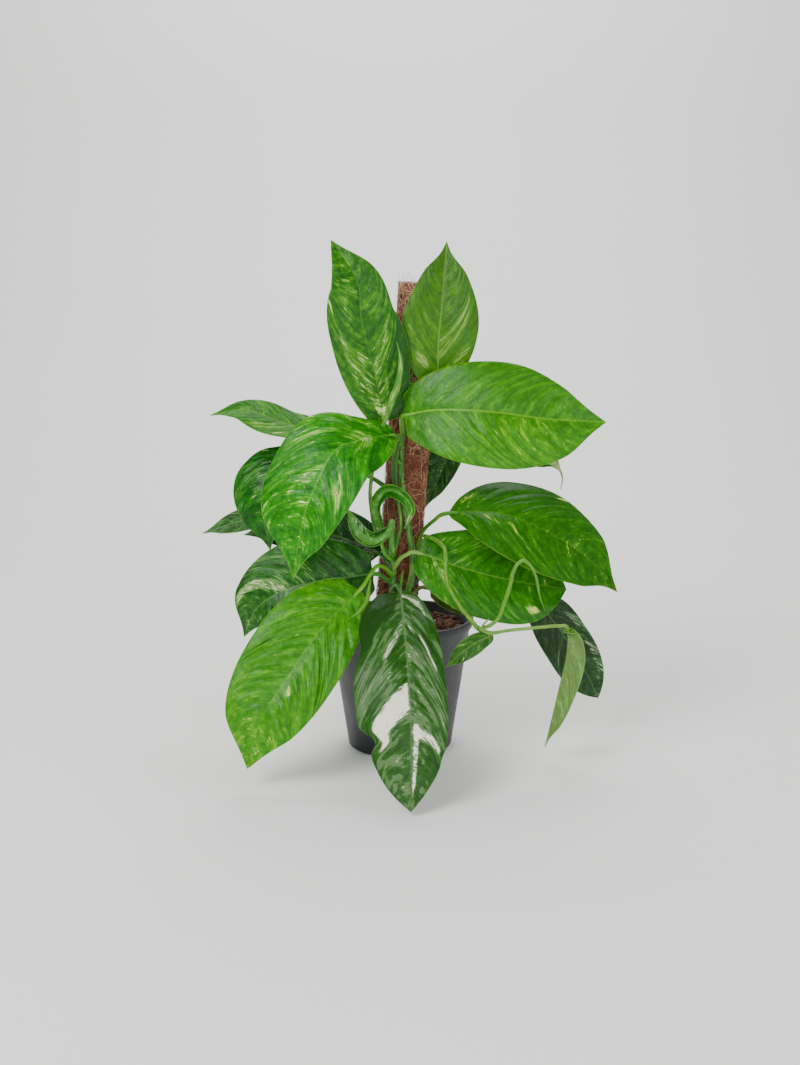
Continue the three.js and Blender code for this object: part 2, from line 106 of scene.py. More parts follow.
# Each leaf's shape as in the solid model. Of a pair, the left half's value comes first. Peak is the station
# where a half is widest. Fold is how far it rises from the midrib and droop how far it bends back, both in
# degrees. Taper is how full it stays towards the tip, drip how thin the tip is drawn, and lobe how far the
# base reaches back. A notch is a half, a station, a length and a depth.
# Veins, quilt, wave and slant belong to the looks alone: how many side veins there are, how deep the tissue
# is quilted between them, how far the margin waves, and how far the veins lean towards the tip.
LEAVES = [
    leaf("leaf_top_left",
         stalk=[(2, -35, 386), (-8, -39, 396), (-15, -41, 405)],
         rib=[(-19, -43, 413), (-25, -49, 449), (-37, -58, 500), (-45, -61, 536), (-50, -60, 579),
              (-80, -50, 625)],
         face=(0.1, -1, 0.15), half=(41, 47), fold=(12, 12), droop=(22, 22), taper=(2.9, 1.5), drip=0.2,
         quilt=1.2),
    leaf("leaf_top_right",
         stalk=[(11, -34, 458), (24, -35, 456), (36, -37, 455)],
         rib=[(44, -38, 457), (45, -44, 499), (48, -46, 539), (52, -38, 586), (55, -28, 625)],
         face=(0, -1, 0.1), half=(44, 46), peak=(0.43, 0.43), taper=(1.6, 1.7), slant=0.62),
    leaf("leaf_upper_right",
         stalk=[(3, -34, 400), (2, -42, 411), (2, -48, 418)],
         rib=[(5, -54, 422), (43, -70, 430), (104, -84, 429), (174, -80, 420), (243, -62, 415)],
         face=(0, -1, 0.35), half=(62, 67), peak=(0.46, 0.46), taper=(1.9, 2.1), drip=0.25, quilt=1.3),
    leaf("leaf_mid_left",
         stalk=[(-8, -37, 254), (-3, -38, 270), (1, -40, 288), (-1, -42, 310), (-6, -43, 334),
                (-8, -44, 356), (-6, -47, 379)],
         rib=[(-5, -56, 398), (-35, -86, 398), (-73, -112, 388), (-96, -126, 348), (-112, -128, 303),
              (-123, -120, 239)],
         face=(-0.3, -1, 0.5), half=(52, 63), peak=(0.4, 0.6), fold=(8, 12), droop=(30, 20), steady=0.5,
         quilt=1.4,
         notches=((0, 0, 0.17, 0.55), (1, 0, 0.12, 0.4))),
    leaf("leaf_far_left",
         stalk=[(1, -33, 362), (-24, -30, 390), (-61, -8, 398)],
         rib=[(-86, 4, 397), (-143, 12, 408), (-193, 24, 424), (-239, 32, 416)],
         face=(0.1, -0.4, 1), half=(42, 34), droop=(16, 16)),
    leaf("leaf_back_left",
         stalk=[(-16, -15, 330), (-34, -12, 342), (-59, 0, 351), (-93, 2, 369)],
         rib=[(-126, -4, 366), (-153, -20, 356), (-168, -34, 317), (-159, -34, 256)],
         face=(-0.5, -1, 0.3), half=(42, 44), steady=0.5),
    leaf("leaf_left_small",
         stalk=[(-20, -12, 258), (-36, -4, 266), (-63, 14, 278), (-95, 24, 288)],
         rib=[(-127, 30, 291), (-192, 36, 284), (-254, 40, 264)],
         face=(0, -0.5, 1), half=(27, 27), fold=(8, 8), droop=(12, 12)),
    leaf("leaf_shade_left",
         stalk=[(-9, -37, 234), (-18, -38, 244)],
         rib=[(-25, -38, 252), (-74, -18, 270), (-135, -12, 279), (-194, -10, 271)],
         face=(0, -1, 0.8), half=(36, 40), droop=(15, 15)),
    leaf("leaf_low_left",
         stalk=[(-9, -37, 214), (-20, -44, 224)],
         rib=[(-32, -52, 230), (-79, -66, 226), (-133, -68, 216), (-172, -64, 191), (-191, -54, 152)],
         face=(-0.2, -1, 0.35), half=(50, 56), droop=(15, 15)),
    leaf("leaf_front_left",
         stalk=[(-9, -38, 225), (-18, -49, 237), (-28, -59, 241), (-37, -71, 231)],
         rib=[(-48, -84, 217), (-90, -122, 182), (-126, -150, 135), (-158, -165, 86), (-176, -165, 25)],
         face=(0, -1, 0.6), half=(53, 62), peak=(0.44, 0.42), fold=(14, 14), droop=(24, 24),
         taper=(3.2, 2.4), drip=0.3, quilt=2.2, veins=17),
    leaf("leaf_front_centre",
         stalk=[(-8, -38, 207), (-5, -56, 217), (-2, -70, 219)],
         rib=[(0, -84, 216), (3, -125, 201), (8, -182, 159), (12, -222, 97), (12, -246, 7)],
         face=(0, -1, 0.7), half=(44, 64), peak=(0.5, 0.42), fold=(6, 6), droop=(36, 36), taper=(3.4, 3.9),
         drip=0.1, quilt=1.5, veins=14,
         notches=((1, 0.33, 0.09, 0.14), (1, 0.735, 0.04, 0.26), (1, 0.82, 0.1, 0.14),
                  (0, 0.8, 0.03, 0.05))),
    leaf("leaf_mid_right",
         stalk=[(15, -32, 247), (22, -24, 263), (28, -26, 278), (41, -36, 293)],
         rib=[(59, -46, 304), (119, -72, 308), (177, -84, 286), (223, -80, 255), (262, -66, 211)],
         face=(0.1, -0.8, 0.8), half=(60, 58), peak=(0.46, 0.46), fold=(8, 8), droop=(24, 24), quilt=1.1,
         lobe=3,
         notches=((0, 0, 0.06, 0.25), (1, 0, 0.16, 0.5))),
    leaf("leaf_low_right",
         stalk=[(-8, -37, 234), (0, -44, 247), (8, -48, 253)],
         rib=[(21, -50, 256), (72, -58, 240), (133, -54, 223), (205, -34, 207)],
         face=(0.1, -1, 0.6), half=(58, 56), peak=(0.52, 0.48), droop=(24, 24), taper=(3.4, 3.4), drip=0),
    leaf("leaf_shade_right",
         stalk=[(10, -34, 208), (34, -6, 222), (62, 14, 224), (114, 14, 212)],
         rib=[(163, -10, 190), (196, -14, 157), (231, -6, 102), (254, 0, 57)],
         face=(0.5, -1, 0.2), half=(34, 36), droop=(24, 24), taper=(4, 3.4), drip=0),
    leaf("leaf_back_low",
         stalk=[(9, -34, 196), (25, -26, 207)],
         rib=[(37, -24, 206), (70, -16, 198), (108, -4, 190), (146, 8, 178)],
         face=(0, -1, 0.6), half=(26, 28), veins=8),
    leaf("leaf_back_right",
         stalk=[(24, 20, 366), (28, 34, 384)],
         rib=[(38, 42, 394), (89, 46, 414), (140, 36, 405), (172, 22, 374), (194, 16, 356), (203, 13, 341),
              (201, 10, 325)],
         face=(0, -1, 0.2), half=(36, 34), peak=(0.35, 0.35), droop=(24, 24), drip=0.75,
         notches=((0, 0.9, 0.1, 0.75), (1, 0.9, 0.1, 0.75))),
    leaf("leaf_back_hanging",
         stalk=[(24, 18, 424), (44, 54, 446)],
         rib=[(70, 62, 424), (66, 60, 377), (54, 58, 343), (30, 52, 292)],
         face=(0, -1, 0.2), half=(19, 28), veins=10),
    leaf("leaf_young_hook",
         stalk=[(-9, -37, 243), (-17, -47, 252), (-22, -49, 264)],
         rib=[(-22, -48, 279), (-31, -52, 311), (-23, -58, 330), (-10, -62, 335), (7, -66, 325),
              (14, -68, 309), (5, -66, 288)],
         face=(0, -1, 0), half=(7, 10), peak=(0.5, 0.5), fold=(30, 30), droop=(0, 0), stalk_radius=2.2,
         quilt=0.5, wave=0.8),
    leaf("leaf_young_curled",
         stalk=[(-9, -38, 250), (-10, -50, 262), (-10, -55, 284), (-9, -63, 297)],
         rib=[(-12, -70, 291), (-18, -73, 282), (-34, -80, 276), (-51, -86, 289), (-62, -88, 317)],
         face=(0, -1, 0), half=(8, 14), peak=(0.5, 0.5), fold=(30, 30), droop=(0, 0), stalk_radius=3.6,
         quilt=0.5, wave=0.8),
    leaf("leaf_runner_narrow",
         stalk=[(92, -110, 178), (106, -108, 171), (124, -106, 173), (142, -102, 174), (168, -96, 175),
                (190, -90, 175)],
         rib=[(200, -88, 171), (200, -88, 139), (191, -84, 89), (178, -74, 18)],
         face=(-0.1, -1, 0.1), half=(22, 25), peak=(0.36, 0.25), fold=(-14, 150), droop=(0, 0),
         stalk_radius=2, quilt=0.6, wave=0.8),
    leaf("leaf_runner_small",
         stalk=[(88, -108, 179), (95, -103, 172), (104, -101, 168)],
         rib=[(110, -101, 166), (92, -105, 160), (72, -110, 147), (54, -112, 130)],
         face=(0, -1, 0), half=(13, 12), droop=(0, 0), stalk_radius=1.6, veins=9, quilt=0.4, wave=0.6),
]

# Where a leaf is paler or darker than its streaks make it, each as a sector between two side veins: from
# and to across the blade, -1 at the left margin and 1 at the right, from and to along it, how far the
# sector drifts towards the tip on its way out, and how much paler it is. Most are the leaf's own marks,
# and two on leaf_upper_right are a painted sheen.
MARKS_AND_SHEEN = {
    "leaf_top_left": [
        (-1.0, -0.82, 0.49, 0.51, 0, 0.35), (-0.7, -0.02, 0.1, 0.46, 0, 0.12),
        (0.02, 0.6, 0.1, 0.5, 0, 0.1), (-0.3, 0.3, 0.07, 0.12, 0, 0.24), (-0.5, -0.05, 0.58, 0.9, 0, 0.07),
        (0.35, 1.0, 0, 0.3, 0, -0.2)],
    "leaf_top_right": [
        (0.02, 0.85, 0.25, 0.41, 0.04, 0.15), (-0.85, -0.35, 0.11, 0.22, 0, 0.16),
        (0.5, 0.85, 0.1, 0.16, 0, 0.14), (-0.5, -0.1, 0.42, 0.5, 0, 0.06),
        (-1.0, 1.0, 0.5, 1.0, 0, -0.05)],
    # The two paler sectors on the right half, from 0.3 to 0.8 along, are a painted sheen, not marks of its
    # own
    "leaf_upper_right": [
        (-0.6, -0.2, 0.22, 0.42, 0, 0.1), (0.05, 0.9, 0.3, 0.8, 0, 0.035), (0.1, 0.75, 0.5, 0.64, 0, 0.04),
        (-1.0, 0.0, 0.0, 0.75, 0, -0.06)],
    "leaf_mid_left": [
        (-0.8, -0.4, 0.48, 0.56, 0, 0.18), (0.03, 0.4, 0.54, 0.6, 0.2, 0.1),
        (-0.35, 0.3, 0.2, 0.36, 0, 0.09), (-0.06, 0.06, 0.23, 0.3, 0, 0.12),
        (-1.0, 1.0, 0.62, 1.0, 0, 0.03), (0.4, 1.0, 0.1, 0.5, 0, 0.05)],
    "leaf_far_left": [(-0.9, -0.3, 0.1, 0.5, 0, 0.1)],
    "leaf_shade_left": [(-1.0, -0.8, 0.2, 0.5, 0, 0.2)],
    "leaf_low_left": [(0.0, 0.9, 0.6, 0.68, 0.15, 0.17), (-1.0, 1.0, 0.0, 0.4, 0, -0.04)],
    "leaf_front_left": [(-0.3, -0.15, 0.65, 0.68, 0, 0.3), (-1.0, 1.0, 0.8, 1.0, 0, 0.05)],
    "leaf_front_centre": [
        (0.02, 0.8, 0.6, 0.7, 0.06, 0.48), (-0.2, -0.05, 0.74, 0.95, 0, 0.36),
        (-0.85, -0.1, 0.755, 0.785, -0.04, 0.36), (-0.8, -0.05, 0.05, 0.085, 0.06, 0.32),
        (0.03, 0.45, 0.28, 0.34, 0.2, 0.2), (-0.3, -0.1, 0.3, 0.325, 0, 0.35),
        (-0.6, -0.4, 0.28, 0.3, 0, 0.35), (-0.75, -0.55, 0.3, 0.33, 0, 0.35),
        (0.2, 1.0, 0.0, 0.2, 0, -0.3), (0.3, 1.0, 0.24, 0.55, 0, 0.08), (-0.9, -0.05, 0.38, 0.7, 0, 0.09),
        (0.05, 0.9, 0.74, 0.95, 0, 0.06), (-0.06, 0.0, 0.1, 0.6, 0, 0.1)],
    "leaf_mid_right": [
        (-0.8, -0.5, 0.06, 0.12, 0, 0.16), (0.2, 0.45, 0.38, 0.42, 0, 0.15),
        (-1.0, -0.88, 0.28, 0.31, 0, 0.4), (0.05, 0.4, 0.24, 0.3, 0, 0.12),
        (-0.5, -0.4, 0.64, 0.67, 0, 0.15), (-1.0, 1.0, 0.7, 1.0, 0, 0.04)],
    "leaf_low_right": [
        (0.0, 0.25, 0.15, 0.19, 0.05, 0.12), (0.25, 0.5, 0.19, 0.22, 0, 0.15),
        (0.0, 0.6, 0.05, 0.3, 0, 0.03), (0.6, 0.8, 0.72, 0.79, 0, 0.35), (-0.8, 0.8, 0.1, 0.4, 0, 0.05),
        (-1.0, -0.9, 0.85, 1.0, 0, 0.2)],
    "leaf_shade_right": [(-1.0, -0.6, 0.2, 0.85, 0, 0.11)],
    "leaf_back_right": [(-1.0, 1.0, 0.84, 1.0, 0, 0.3)],
    "leaf_young_hook": [(-1.0, 1.0, 0.88, 1.0, 0, 0.5)],
    "leaf_young_curled": [(0.2, 1.0, 0.4, 0.9, 0, 0.06)],
}


def tones(colours, sage_at=0.66, cream_at=0.7, marbling=0.7, rib=0.5, sheen=0.2, stalk=None):
    """A leaf's tones from its darkest green to its cream, how rare the sage and the cream are, how much the
    sage gathers in patches, how much the midrib shows, how the blade shines, and its stalk's own tone."""
    dark, mid, light, sage, cream = colours.split()
    return dict(dark=dark, mid=mid, light=light, sage=sage, cream=cream, sage_at=sage_at, cream_at=cream_at,
                marbling=marbling, rib=rib, sheen=sheen, stalk=stalk or light)


TONES = {
    "leaf_top_left": tones("124806 226204 468408 6ca034 dce69c", cream_at=0.75, sage_at=0.68, rib=0.2),
    "leaf_top_right": tones("285800 346800 467c00 789c48 c0d088", cream_at=0.95, sage_at=0.7, rib=0.5),
    "leaf_upper_right": tones("266400 327800 4a9200 7cb40c bcd048", sage_at=0.69, cream_at=0.77, rib=0.6),
    "leaf_mid_left": tones("0e5600 1c7400 3a9204 78ac34 d8e294", cream_at=0.74, rib=0.4, stalk="347018"),
    "leaf_far_left": tones("1a5800 287000 408c00 78a828 ccdc80", cream_at=0.74, sheen=0.05),
    "leaf_back_left": tones("063c00 105800 247404 5c8834 a8b870", sage_at=0.67),
    "leaf_left_small": tones("184410 2c601c 487c34 749458 b0bc84"),
    "leaf_shade_left": tones("042604 0c3c06 1a5410 587c3c ced8b0", cream_at=0.72),
    "leaf_low_left": tones("0e4006 1e5a0e 387824 6c9450 d0d8a4", sage_at=0.62, cream_at=0.75),
    "leaf_front_left": tones("246800 347e00 52980a 84b034 d4e088", sage_at=0.68, cream_at=0.76, rib=0.2),
    "leaf_front_centre": tones("143c04 20500c 34641c 557446 ece6d4", sage_at=0.58, cream_at=0.79,
                               marbling=1.2, rib=0.9, stalk="2c6414"),
    "leaf_mid_right": tones("185000 226000 2e7000 74a020 d6dc80", sage_at=0.7, cream_at=0.76, rib=0.2,
                            sheen=0.1),
    "leaf_low_right": tones("1a5a00 246a00 348004 70a038 ccd86c", sage_at=0.68, cream_at=0.78, rib=0.6,
                            stalk="7aa848"),
    "leaf_shade_right": tones("0c2a08 183e14 2c5424 607c58 b8c4a0", cream_at=0.76),
    "leaf_back_low": tones("2a3a10 3e4e1a 586628 74804c a8b07c"),
    "leaf_back_right": tones("0a3e06 165a0a 2e7814 749a48 ccd494", cream_at=0.78),
    "leaf_back_hanging": tones("083404 145008 286a16 648c44 bcc88c"),
    "leaf_young_hook": tones("0e5800 1e7404 3e9014 7cb040 e2ecbc", cream_at=0.84),
    "leaf_young_curled": tones("0c4404 1e620e 3c8420 7cac54 e4ecca", sage_at=0.62, cream_at=0.68),
    "leaf_runner_narrow": tones("244c0c 3a6c18 5c9028 84a84c c8d498"),
    "leaf_runner_small": tones("1a4806 285e0c 40781c 6c9440 c8d894"),
}

# The round stems, shoots and roots: points along the middle and radii in millimetres, as in the solid model
STEMS = {
    "stem_main": dict(radii=(4.6, 4.4, 3.9, 3.2, 1.2), joints=9,
        path=[(-5, -34, 112), (-3, -36, 160), (0, -36, 184), (10, -34, 206), (15, -32, 228),
              (15, -32, 253), (11, -32, 278), (6, -33, 308), (2, -33, 342), (2, -32, 379), (4, -31, 409),
              (6, -31, 433), (10, -31, 457), (17, -31, 477)]),
    "stem_left": dict(radii=(4.6, 4.4, 3.2), joints=4,
        path=[(-14, -38, 112), (-13, -40, 160), (-11, -40, 190), (-9, -38, 207), (-8, -37, 229),
              (-9, -37, 250), (-8, -37, 258)]),
    "leaf_rolled_new": dict(radii=(2.6, 2.5, 2.4, 2.3, 2.2, 2.4, 4.6, 3.4, 0.4), joints=0,
        path=[(-9, -35, 250), (-22, -34, 262), (-31, -38, 285), (-35, -40, 310), (-36, -39, 331),
              (-31, -44, 368), (-24, -56, 400), (-16, -61, 420), (-11, -64, 436), (-3, -66, 458),
              (1, -67, 480), (-1, -66, 497), (-4, -65, 509)]),
    "runner": dict(radii=(2.6, 2.5, 2.4, 2.6), joints=3,
        path=[(30, -36, 274), (36, -46, 274), (46, -60, 271), (53, -74, 265), (54, -86, 254),
              (55, -98, 231), (67, -106, 208), (80, -110, 191), (91, -111, 178)]),
    "runner_shoot": dict(radii=(2.2, 2.4, 2.2, 1.6, 0.4), joints=0,
        path=[(96, -113, 179), (104, -114, 181), (115, -115, 191), (121, -119, 210), (126, -126, 229),
              (129, -133, 248), (134, -138, 260), (141, -139, 264), (150, -135, 256), (157, -126, 240),
              (162, -116, 219), (170, -105, 197)]),
    "sheath_hook": dict(radii=(1.2, 2.8, 2.6, 0.4), joints=0,
        path=[(-35, -76, 228), (-37, -86, 219), (-39, -100, 208), (-47, -116, 199), (-59, -128, 193)]),
    "shoot_spike": dict(radii=(2.2, 1.8, 0.4), joints=0,
        path=[(1, -42, 212), (2, -42, 222), (4, -43, 234)]),
    "root_stub": dict(radii=(1.8, 1.9, 1.5), joints=0,
        path=[(24, -34, 262), (34, -40, 261), (45, -46, 262)]),
    "runner_root": dict(radii=(1.2, 0.7), joints=0,
        path=[(96, -117, 182), (104, -119, 192)]),
}


# Small sums that the shapes share


def ease(low, high, value):
    """A smooth step from 0 at low to 1 at high."""
    share = min(max((value - low) / (high - low), 0.0), 1.0)
    return share * share * (3 - 2 * share)


def blend(start, end, share):
    """A value part of the way from start to end."""
    return start + (end - start) * share


class Course:
    """A smooth curve through points, read by its share of length from its start."""

    def __init__(self, points):
        self.points = [Vector(point) for point in points]
        steps = STEPS_PER_POINT * (len(points) - 1)
        samples = [self.spot(i / steps) for i in range(steps + 1)]
        self.lengths = [0.0]
        for before, after in zip(samples, samples[1:]):
            self.lengths.append(self.lengths[-1] + (after - before).length)
        self.length = self.lengths[-1]

    def spot(self, place):
        """The point at a place counted by points, from 0 to 1."""
        spans = len(self.points) - 1
        span = min(int(place * spans), spans - 1)
        part = place * spans - span
        start, end = self.points[span], self.points[span + 1]
        before = self.points[span - 1] if span > 0 else start * 2 - end
        after = self.points[span + 2] if span + 2 <= spans else end * 2 - start
        leave = (end - before) / 2
        arrive = (after - start) / 2
        cubic = (start - end) * 2 + leave + arrive
        square = (end - start) * 3 - leave * 2 - arrive
        return start + (leave + (square + cubic * part) * part) * part

    def at(self, share):
        """The point at a share of the length."""
        wanted = min(max(share, 0.0), 1.0) * self.length
        index = min(bisect_right(self.lengths, wanted), len(self.lengths) - 1) - 1
        step = self.lengths[index + 1] - self.lengths[index]
        steps = len(self.lengths) - 1
        return self.spot((index + (wanted - self.lengths[index]) / step) / steps)

    def tangent(self, share):
        """The direction at a share of the length."""
        low = max(share - 1e-4, 0.0)
        high = min(share + 1e-4, 1.0)
        return (self.at(high) - self.at(low)).normalized()

    def share_of_point(self, index):
        """The share of the length at one of the points."""
        return self.lengths[STEPS_PER_POINT * index] / self.length


def squared_to(direction, tangent):
    """The part of a direction that stands square to a tangent."""
    return (direction - tangent * direction.dot(tangent)).normalized()


def travelling_frames(course, rings, first_up, start=0.0, end=1.0):
    """Points, tangents and upward sides along a course, carried on without twisting."""
    frames = []
    up = first_up
    for i in range(rings + 1):
        share = blend(start, end, i / rings)
        tangent = course.tangent(share)
        up = squared_to(up, tangent)
        frames.append((course.at(share), tangent, up))
    return frames


# Making pieces


def finish_piece(name, bm, materials, nodes):
    """Links a piece built in metres, shades it smooth, and hides the solids that it stands for."""
    mesh = bpy.data.meshes.new(name)
    bm.to_mesh(mesh)
    bm.free()
    for material in materials:
        mesh.materials.append(material)
    mesh.shade_smooth()
    piece = bpy.data.objects.new(name, mesh)
    bpy.context.scene.collection.objects.link(piece)
    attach(piece, "root")
    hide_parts(*nodes)
    return piece


def thicken(piece, thickness):
    """Gives a sheet its thickness, downwards from the side that was modelled."""
    wall = piece.modifiers.new("thickness", "SOLIDIFY")
    wall.thickness = thickness
    wall.offset = -1
    return wall


def rolled_sheet(bm, rings, place, sides):
    """A closed bar: a grid rolled up by place(along, turn), with its seam merged and its ends filled."""
    made = bmesh.ops.create_grid(bm, x_segments=sides, y_segments=rings, size=1, calc_uvs=True)["verts"]
    for vert in made:
        vert.co = place((vert.co.y + 1) / 2, (vert.co.x + 1) * math.pi)
    faces = {face for vert in made for face in vert.link_faces}
    bmesh.ops.remove_doubles(bm, verts=made, dist=1e-7)
    rims = {edge for face in faces if face.is_valid for edge in face.edges if edge.is_boundary}
    caps = bmesh.ops.holes_fill(bm, edges=list(rims), sides=0)["faces"]
    whole = [face for face in faces if face.is_valid] + caps
    bmesh.ops.recalc_face_normals(bm, faces=whole)


def ring_point(frame_here, turn, radius, lift=0.0):
    """A point round a course, lifted towards the frame's upward side."""
    point, tangent, up = frame_here
    side = tangent.cross(up)
    return point + side * (math.cos(turn) * radius) + up * (math.sin(turn) * radius + lift)


# The leaves


def half_outline(station, peak, taper, drip):
    """How wide half a blade is at a station from base to tip, as a share of its widest."""
    if station < peak:
        body = (1 - (1 - station / peak) ** 2) ** BASE_ROUNDNESS
    else:
        body = 1 - ((station - peak) / (1 - peak)) ** taper
    return body * (1 - drip * ease(DRIP_START, DRIP_FULL, station))


def leaf_frame(shape, course, stalk_share, station):
    """The point, tangent and upward side at a station of the blade."""
    along = stalk_share + station * (1 - stalk_share)
    chord = (course.at(1) - course.at(stalk_share)).normalized()
    steadied = ease(0, STEADY_FROM, station) * shape["steady"]
    tangent = course.tangent(along).lerp(chord, steadied).normalized()
    return course.at(along), tangent, squared_to(Vector(shape["face"]), tangent)


def half_width(shape, side, station):
    """Half a blade's width in millimetres at a station."""
    least = blend(shape["stalk_radius"], TIP_RADIUS, ease(0, 1, station))
    outline = half_outline(station, shape["peak"][side], shape["taper"][side], shape["drip"])
    for notch_side, place, length, depth in shape["notches"]:
        if side == notch_side:
            outline *= 1 - depth * math.exp(-((station - place) / length) ** 2)
    return max(least, shape["half"][side] * outline)


def blade_point(shape, frame_here, side, share, station, depth):
    """A point of a blade in millimetres, at a share of the way from the midrib to one margin."""
    point, tangent, up = frame_here
    opened = ease(0, STALK_FLARE, station)
    half = shape["half"][side]
    reach = share * half_width(shape, side, station)
    fold = math.radians(shape["fold"][side]) * opened
    curl = math.radians(shape["droop"][side]) * opened / half
    angle = fold - curl * reach
    if abs(curl) > 1e-6:
        out = (math.sin(fold) - math.sin(angle)) / curl
        rise = (math.cos(angle) - math.cos(fold)) / curl
    else:
        out = reach * math.cos(fold)
        rise = reach * math.sin(fold)
    outward = 1 if side else -1
    bisector = math.radians(shape["fold"][1] - shape["fold"][0]) * 0.5 * opened
    tilt = angle if share > 1e-6 else bisector * outward
    sideways = tangent.cross(up) * outward
    lobe = shape["lobe"] * (half / LOBE_LEAF_HALF) * share ** LOBE_ROUNDNESS
    lobe *= (1 - station) ** LOBE_FADING * opened
    return (point + sideways * (out - depth * math.sin(tilt))
            + up * (rise + depth * math.cos(tilt)) - tangent * lobe)


def quilt_lift(shape, share, step, veins, seed):
    """How far the tissue stands up between its side veins, in millimetres."""
    puff = abs(math.sin(math.pi * veins * step)) ** PUFF_FULLNESS - PUFF_LEVEL
    away_from_rib = ease(0.03, 0.3, share)
    inside_margin = 1 - 0.8 * ease(0.7, 1.0, share)
    before_tip = 1 - ease(0.75, 0.98, step)
    after_base = ease(0.0, 0.12, step)
    uneven = 0.75 + 0.5 * noise.noise(Vector((share * 3, step * veins, seed)))
    wrinkle = 0.7 * noise.noise(Vector((share * 5, step * veins * 2.2, seed + 0.5)))
    depth = shape["quilt"] * away_from_rib * inside_margin * before_tip * after_base
    return depth * (puff * uneven + wrinkle)


def margin_lift(shape, side, share, station, seed):
    """How far the margin waves, in millimetres."""
    swing = math.sin(2 * math.pi * (WAVES_PER_SIDE * station + seed * 0.37 + side * 0.43))
    return shape["wave"] * share ** 2.5 * swing * ease(0.05, 0.3, station) * (1 - station)


def marks_and_sheen(name, signed, step):
    """How much paler a leaf's own marks, and the painted sheen listed with them, make a spot."""
    total = 0.0
    for near, far, first, last, drift, strength in MARKS_AND_SHEEN.get(name, ()):
        moved = step - drift * abs(signed)
        across = ease(near - 0.04, near + 0.04, signed) * ease(far + 0.05, far - 0.05, signed)
        along = ease(first - 0.016, first + 0.01, moved) * ease(last + 0.02, last - 0.01, moved)
        total += strength * across * along
    return total


def blade_piece(shape, seed, upper, under):
    """A leaf's blade: a grid whose rows follow the side veins, thickened downwards."""
    course = Course(shape["stalk"] + shape["rib"])
    stalk_share = course.share_of_point(len(shape["stalk"]))
    veins = shape["veins"]
    bm = bmesh.new()
    bm.loops.layers.uv.new("veins")
    edge_layer = bm.verts.layers.float.new("from_edge")
    rib_layer = bm.verts.layers.float.new("from_rib")
    pale_layer = bm.verts.layers.float.new("paleness")
    bmesh.ops.create_grid(bm, x_segments=BLADE_COLUMNS, y_segments=veins * ROWS_PER_VEIN, size=1,
                          calc_uvs=True)
    for vert in bm.verts:
        signed = vert.co.x
        share = abs(signed)
        side = 1 if signed > 0 else 0
        step = (vert.co.y + 1) / 2
        root = step * blend(BASE_VEIN_GAP, 1, step)
        lean = shape["slant"] * (share + share ** 2) / 2 * ease(0, UPRIGHT_VEINS, root)
        station = root + lean * (1 - root)
        lift = quilt_lift(shape, share, step, veins, seed) + margin_lift(shape, side, share, station, seed)
        lift -= RIB_GROOVE * (1 - ease(0, 0.07, share)) * ease(0.02, 0.1, station) * (1 - station)
        spot = leaf_frame(shape, course, stalk_share, station)
        vert.co = blade_point(shape, spot, side, share, station, lift) * MM
        width = half_width(shape, side, station)
        vert[edge_layer] = (1 - share) * width
        vert[rib_layer] = share * width
        vert[pale_layer] = marks_and_sheen(shape["name"], signed, step)
    piece = finish_piece(f"{shape['name']}_blade", bm, [upper, under], [shape["name"]])
    thicken(piece, BLADE_THICKNESS).material_offset = 1


def stalk_piece(shape, material):
    """A leaf's stalk, channelled on top, which runs on under the blade as its midrib."""
    course = Course(shape["stalk"] + shape["rib"])
    stalk_share = course.share_of_point(len(shape["stalk"]))
    radius = shape["stalk_radius"]
    rings = max(24, round(course.length / 3))
    base_up = leaf_frame(shape, course, stalk_share, 0)[2]
    stalk_rings = max(4, round(rings * stalk_share))
    behind = travelling_frames(course, stalk_rings, base_up, stalk_share, 0)
    ahead = []
    for i in range(1, rings - stalk_rings + 1):
        station = i / (rings - stalk_rings)
        ahead.append(leaf_frame(shape, course, stalk_share, station * 0.985))
    frames = behind[::-1] + ahead
    bm = bmesh.new()
    bm.loops.layers.uv.new("along")

    def place(along, turn):
        index = round(along * rings)
        station = (index - stalk_rings) / (rings - stalk_rings)
        on_blade = ease(0, 0.08, station)
        thick = blend(radius, blend(radius * 0.62, 0.35, max(station, 0) ** 0.7), on_blade)
        channel = 0.22 * math.exp(-((turn - math.pi / 2) / 0.5) ** 2) * (1 - on_blade)
        knee = 1 + 0.12 * math.exp(-((station + 0.03) / 0.03) ** 2)
        flare = 1 + 0.3 * ease(0.12, 0.0, along)
        sink = -on_blade * (thick + RIB_GROOVE + 0.2)
        return ring_point(frames[index], turn, thick * (1 - channel) * knee * flare, sink) * MM

    rolled_sheet(bm, rings, place, sides=12)
    finish_piece(f"{shape['name']}_stalk", bm, [material], [shape["name"]])


def roll_piece(name, shape, material, radii, pucker):
    """The rolled-up half of a young leaf: a tube along its midrib with the edge of the roll along it."""
    course = Course(shape["rib"])
    rings = max(40, round(course.length / 1.2))
    frames = travelling_frames(course, rings, Vector(shape["face"]))
    bm = bmesh.new()
    bm.loops.layers.uv.new("along")

    def place(along, turn):
        radius = radius_along(radii, along)
        spiral = 1 + 0.16 * (((turn - 1.2) / (2 * math.pi)) % 1)
        ribs = 1 + pucker * math.sin(along * course.length * 1.6) * math.exp(-((turn - math.pi) / 1.1) ** 2)
        return ring_point(frames[round(along * rings)], turn, radius * spiral * ribs) * MM

    rolled_sheet(bm, rings, place, sides=22)
    finish_piece(name, bm, [material], [shape["name"]])


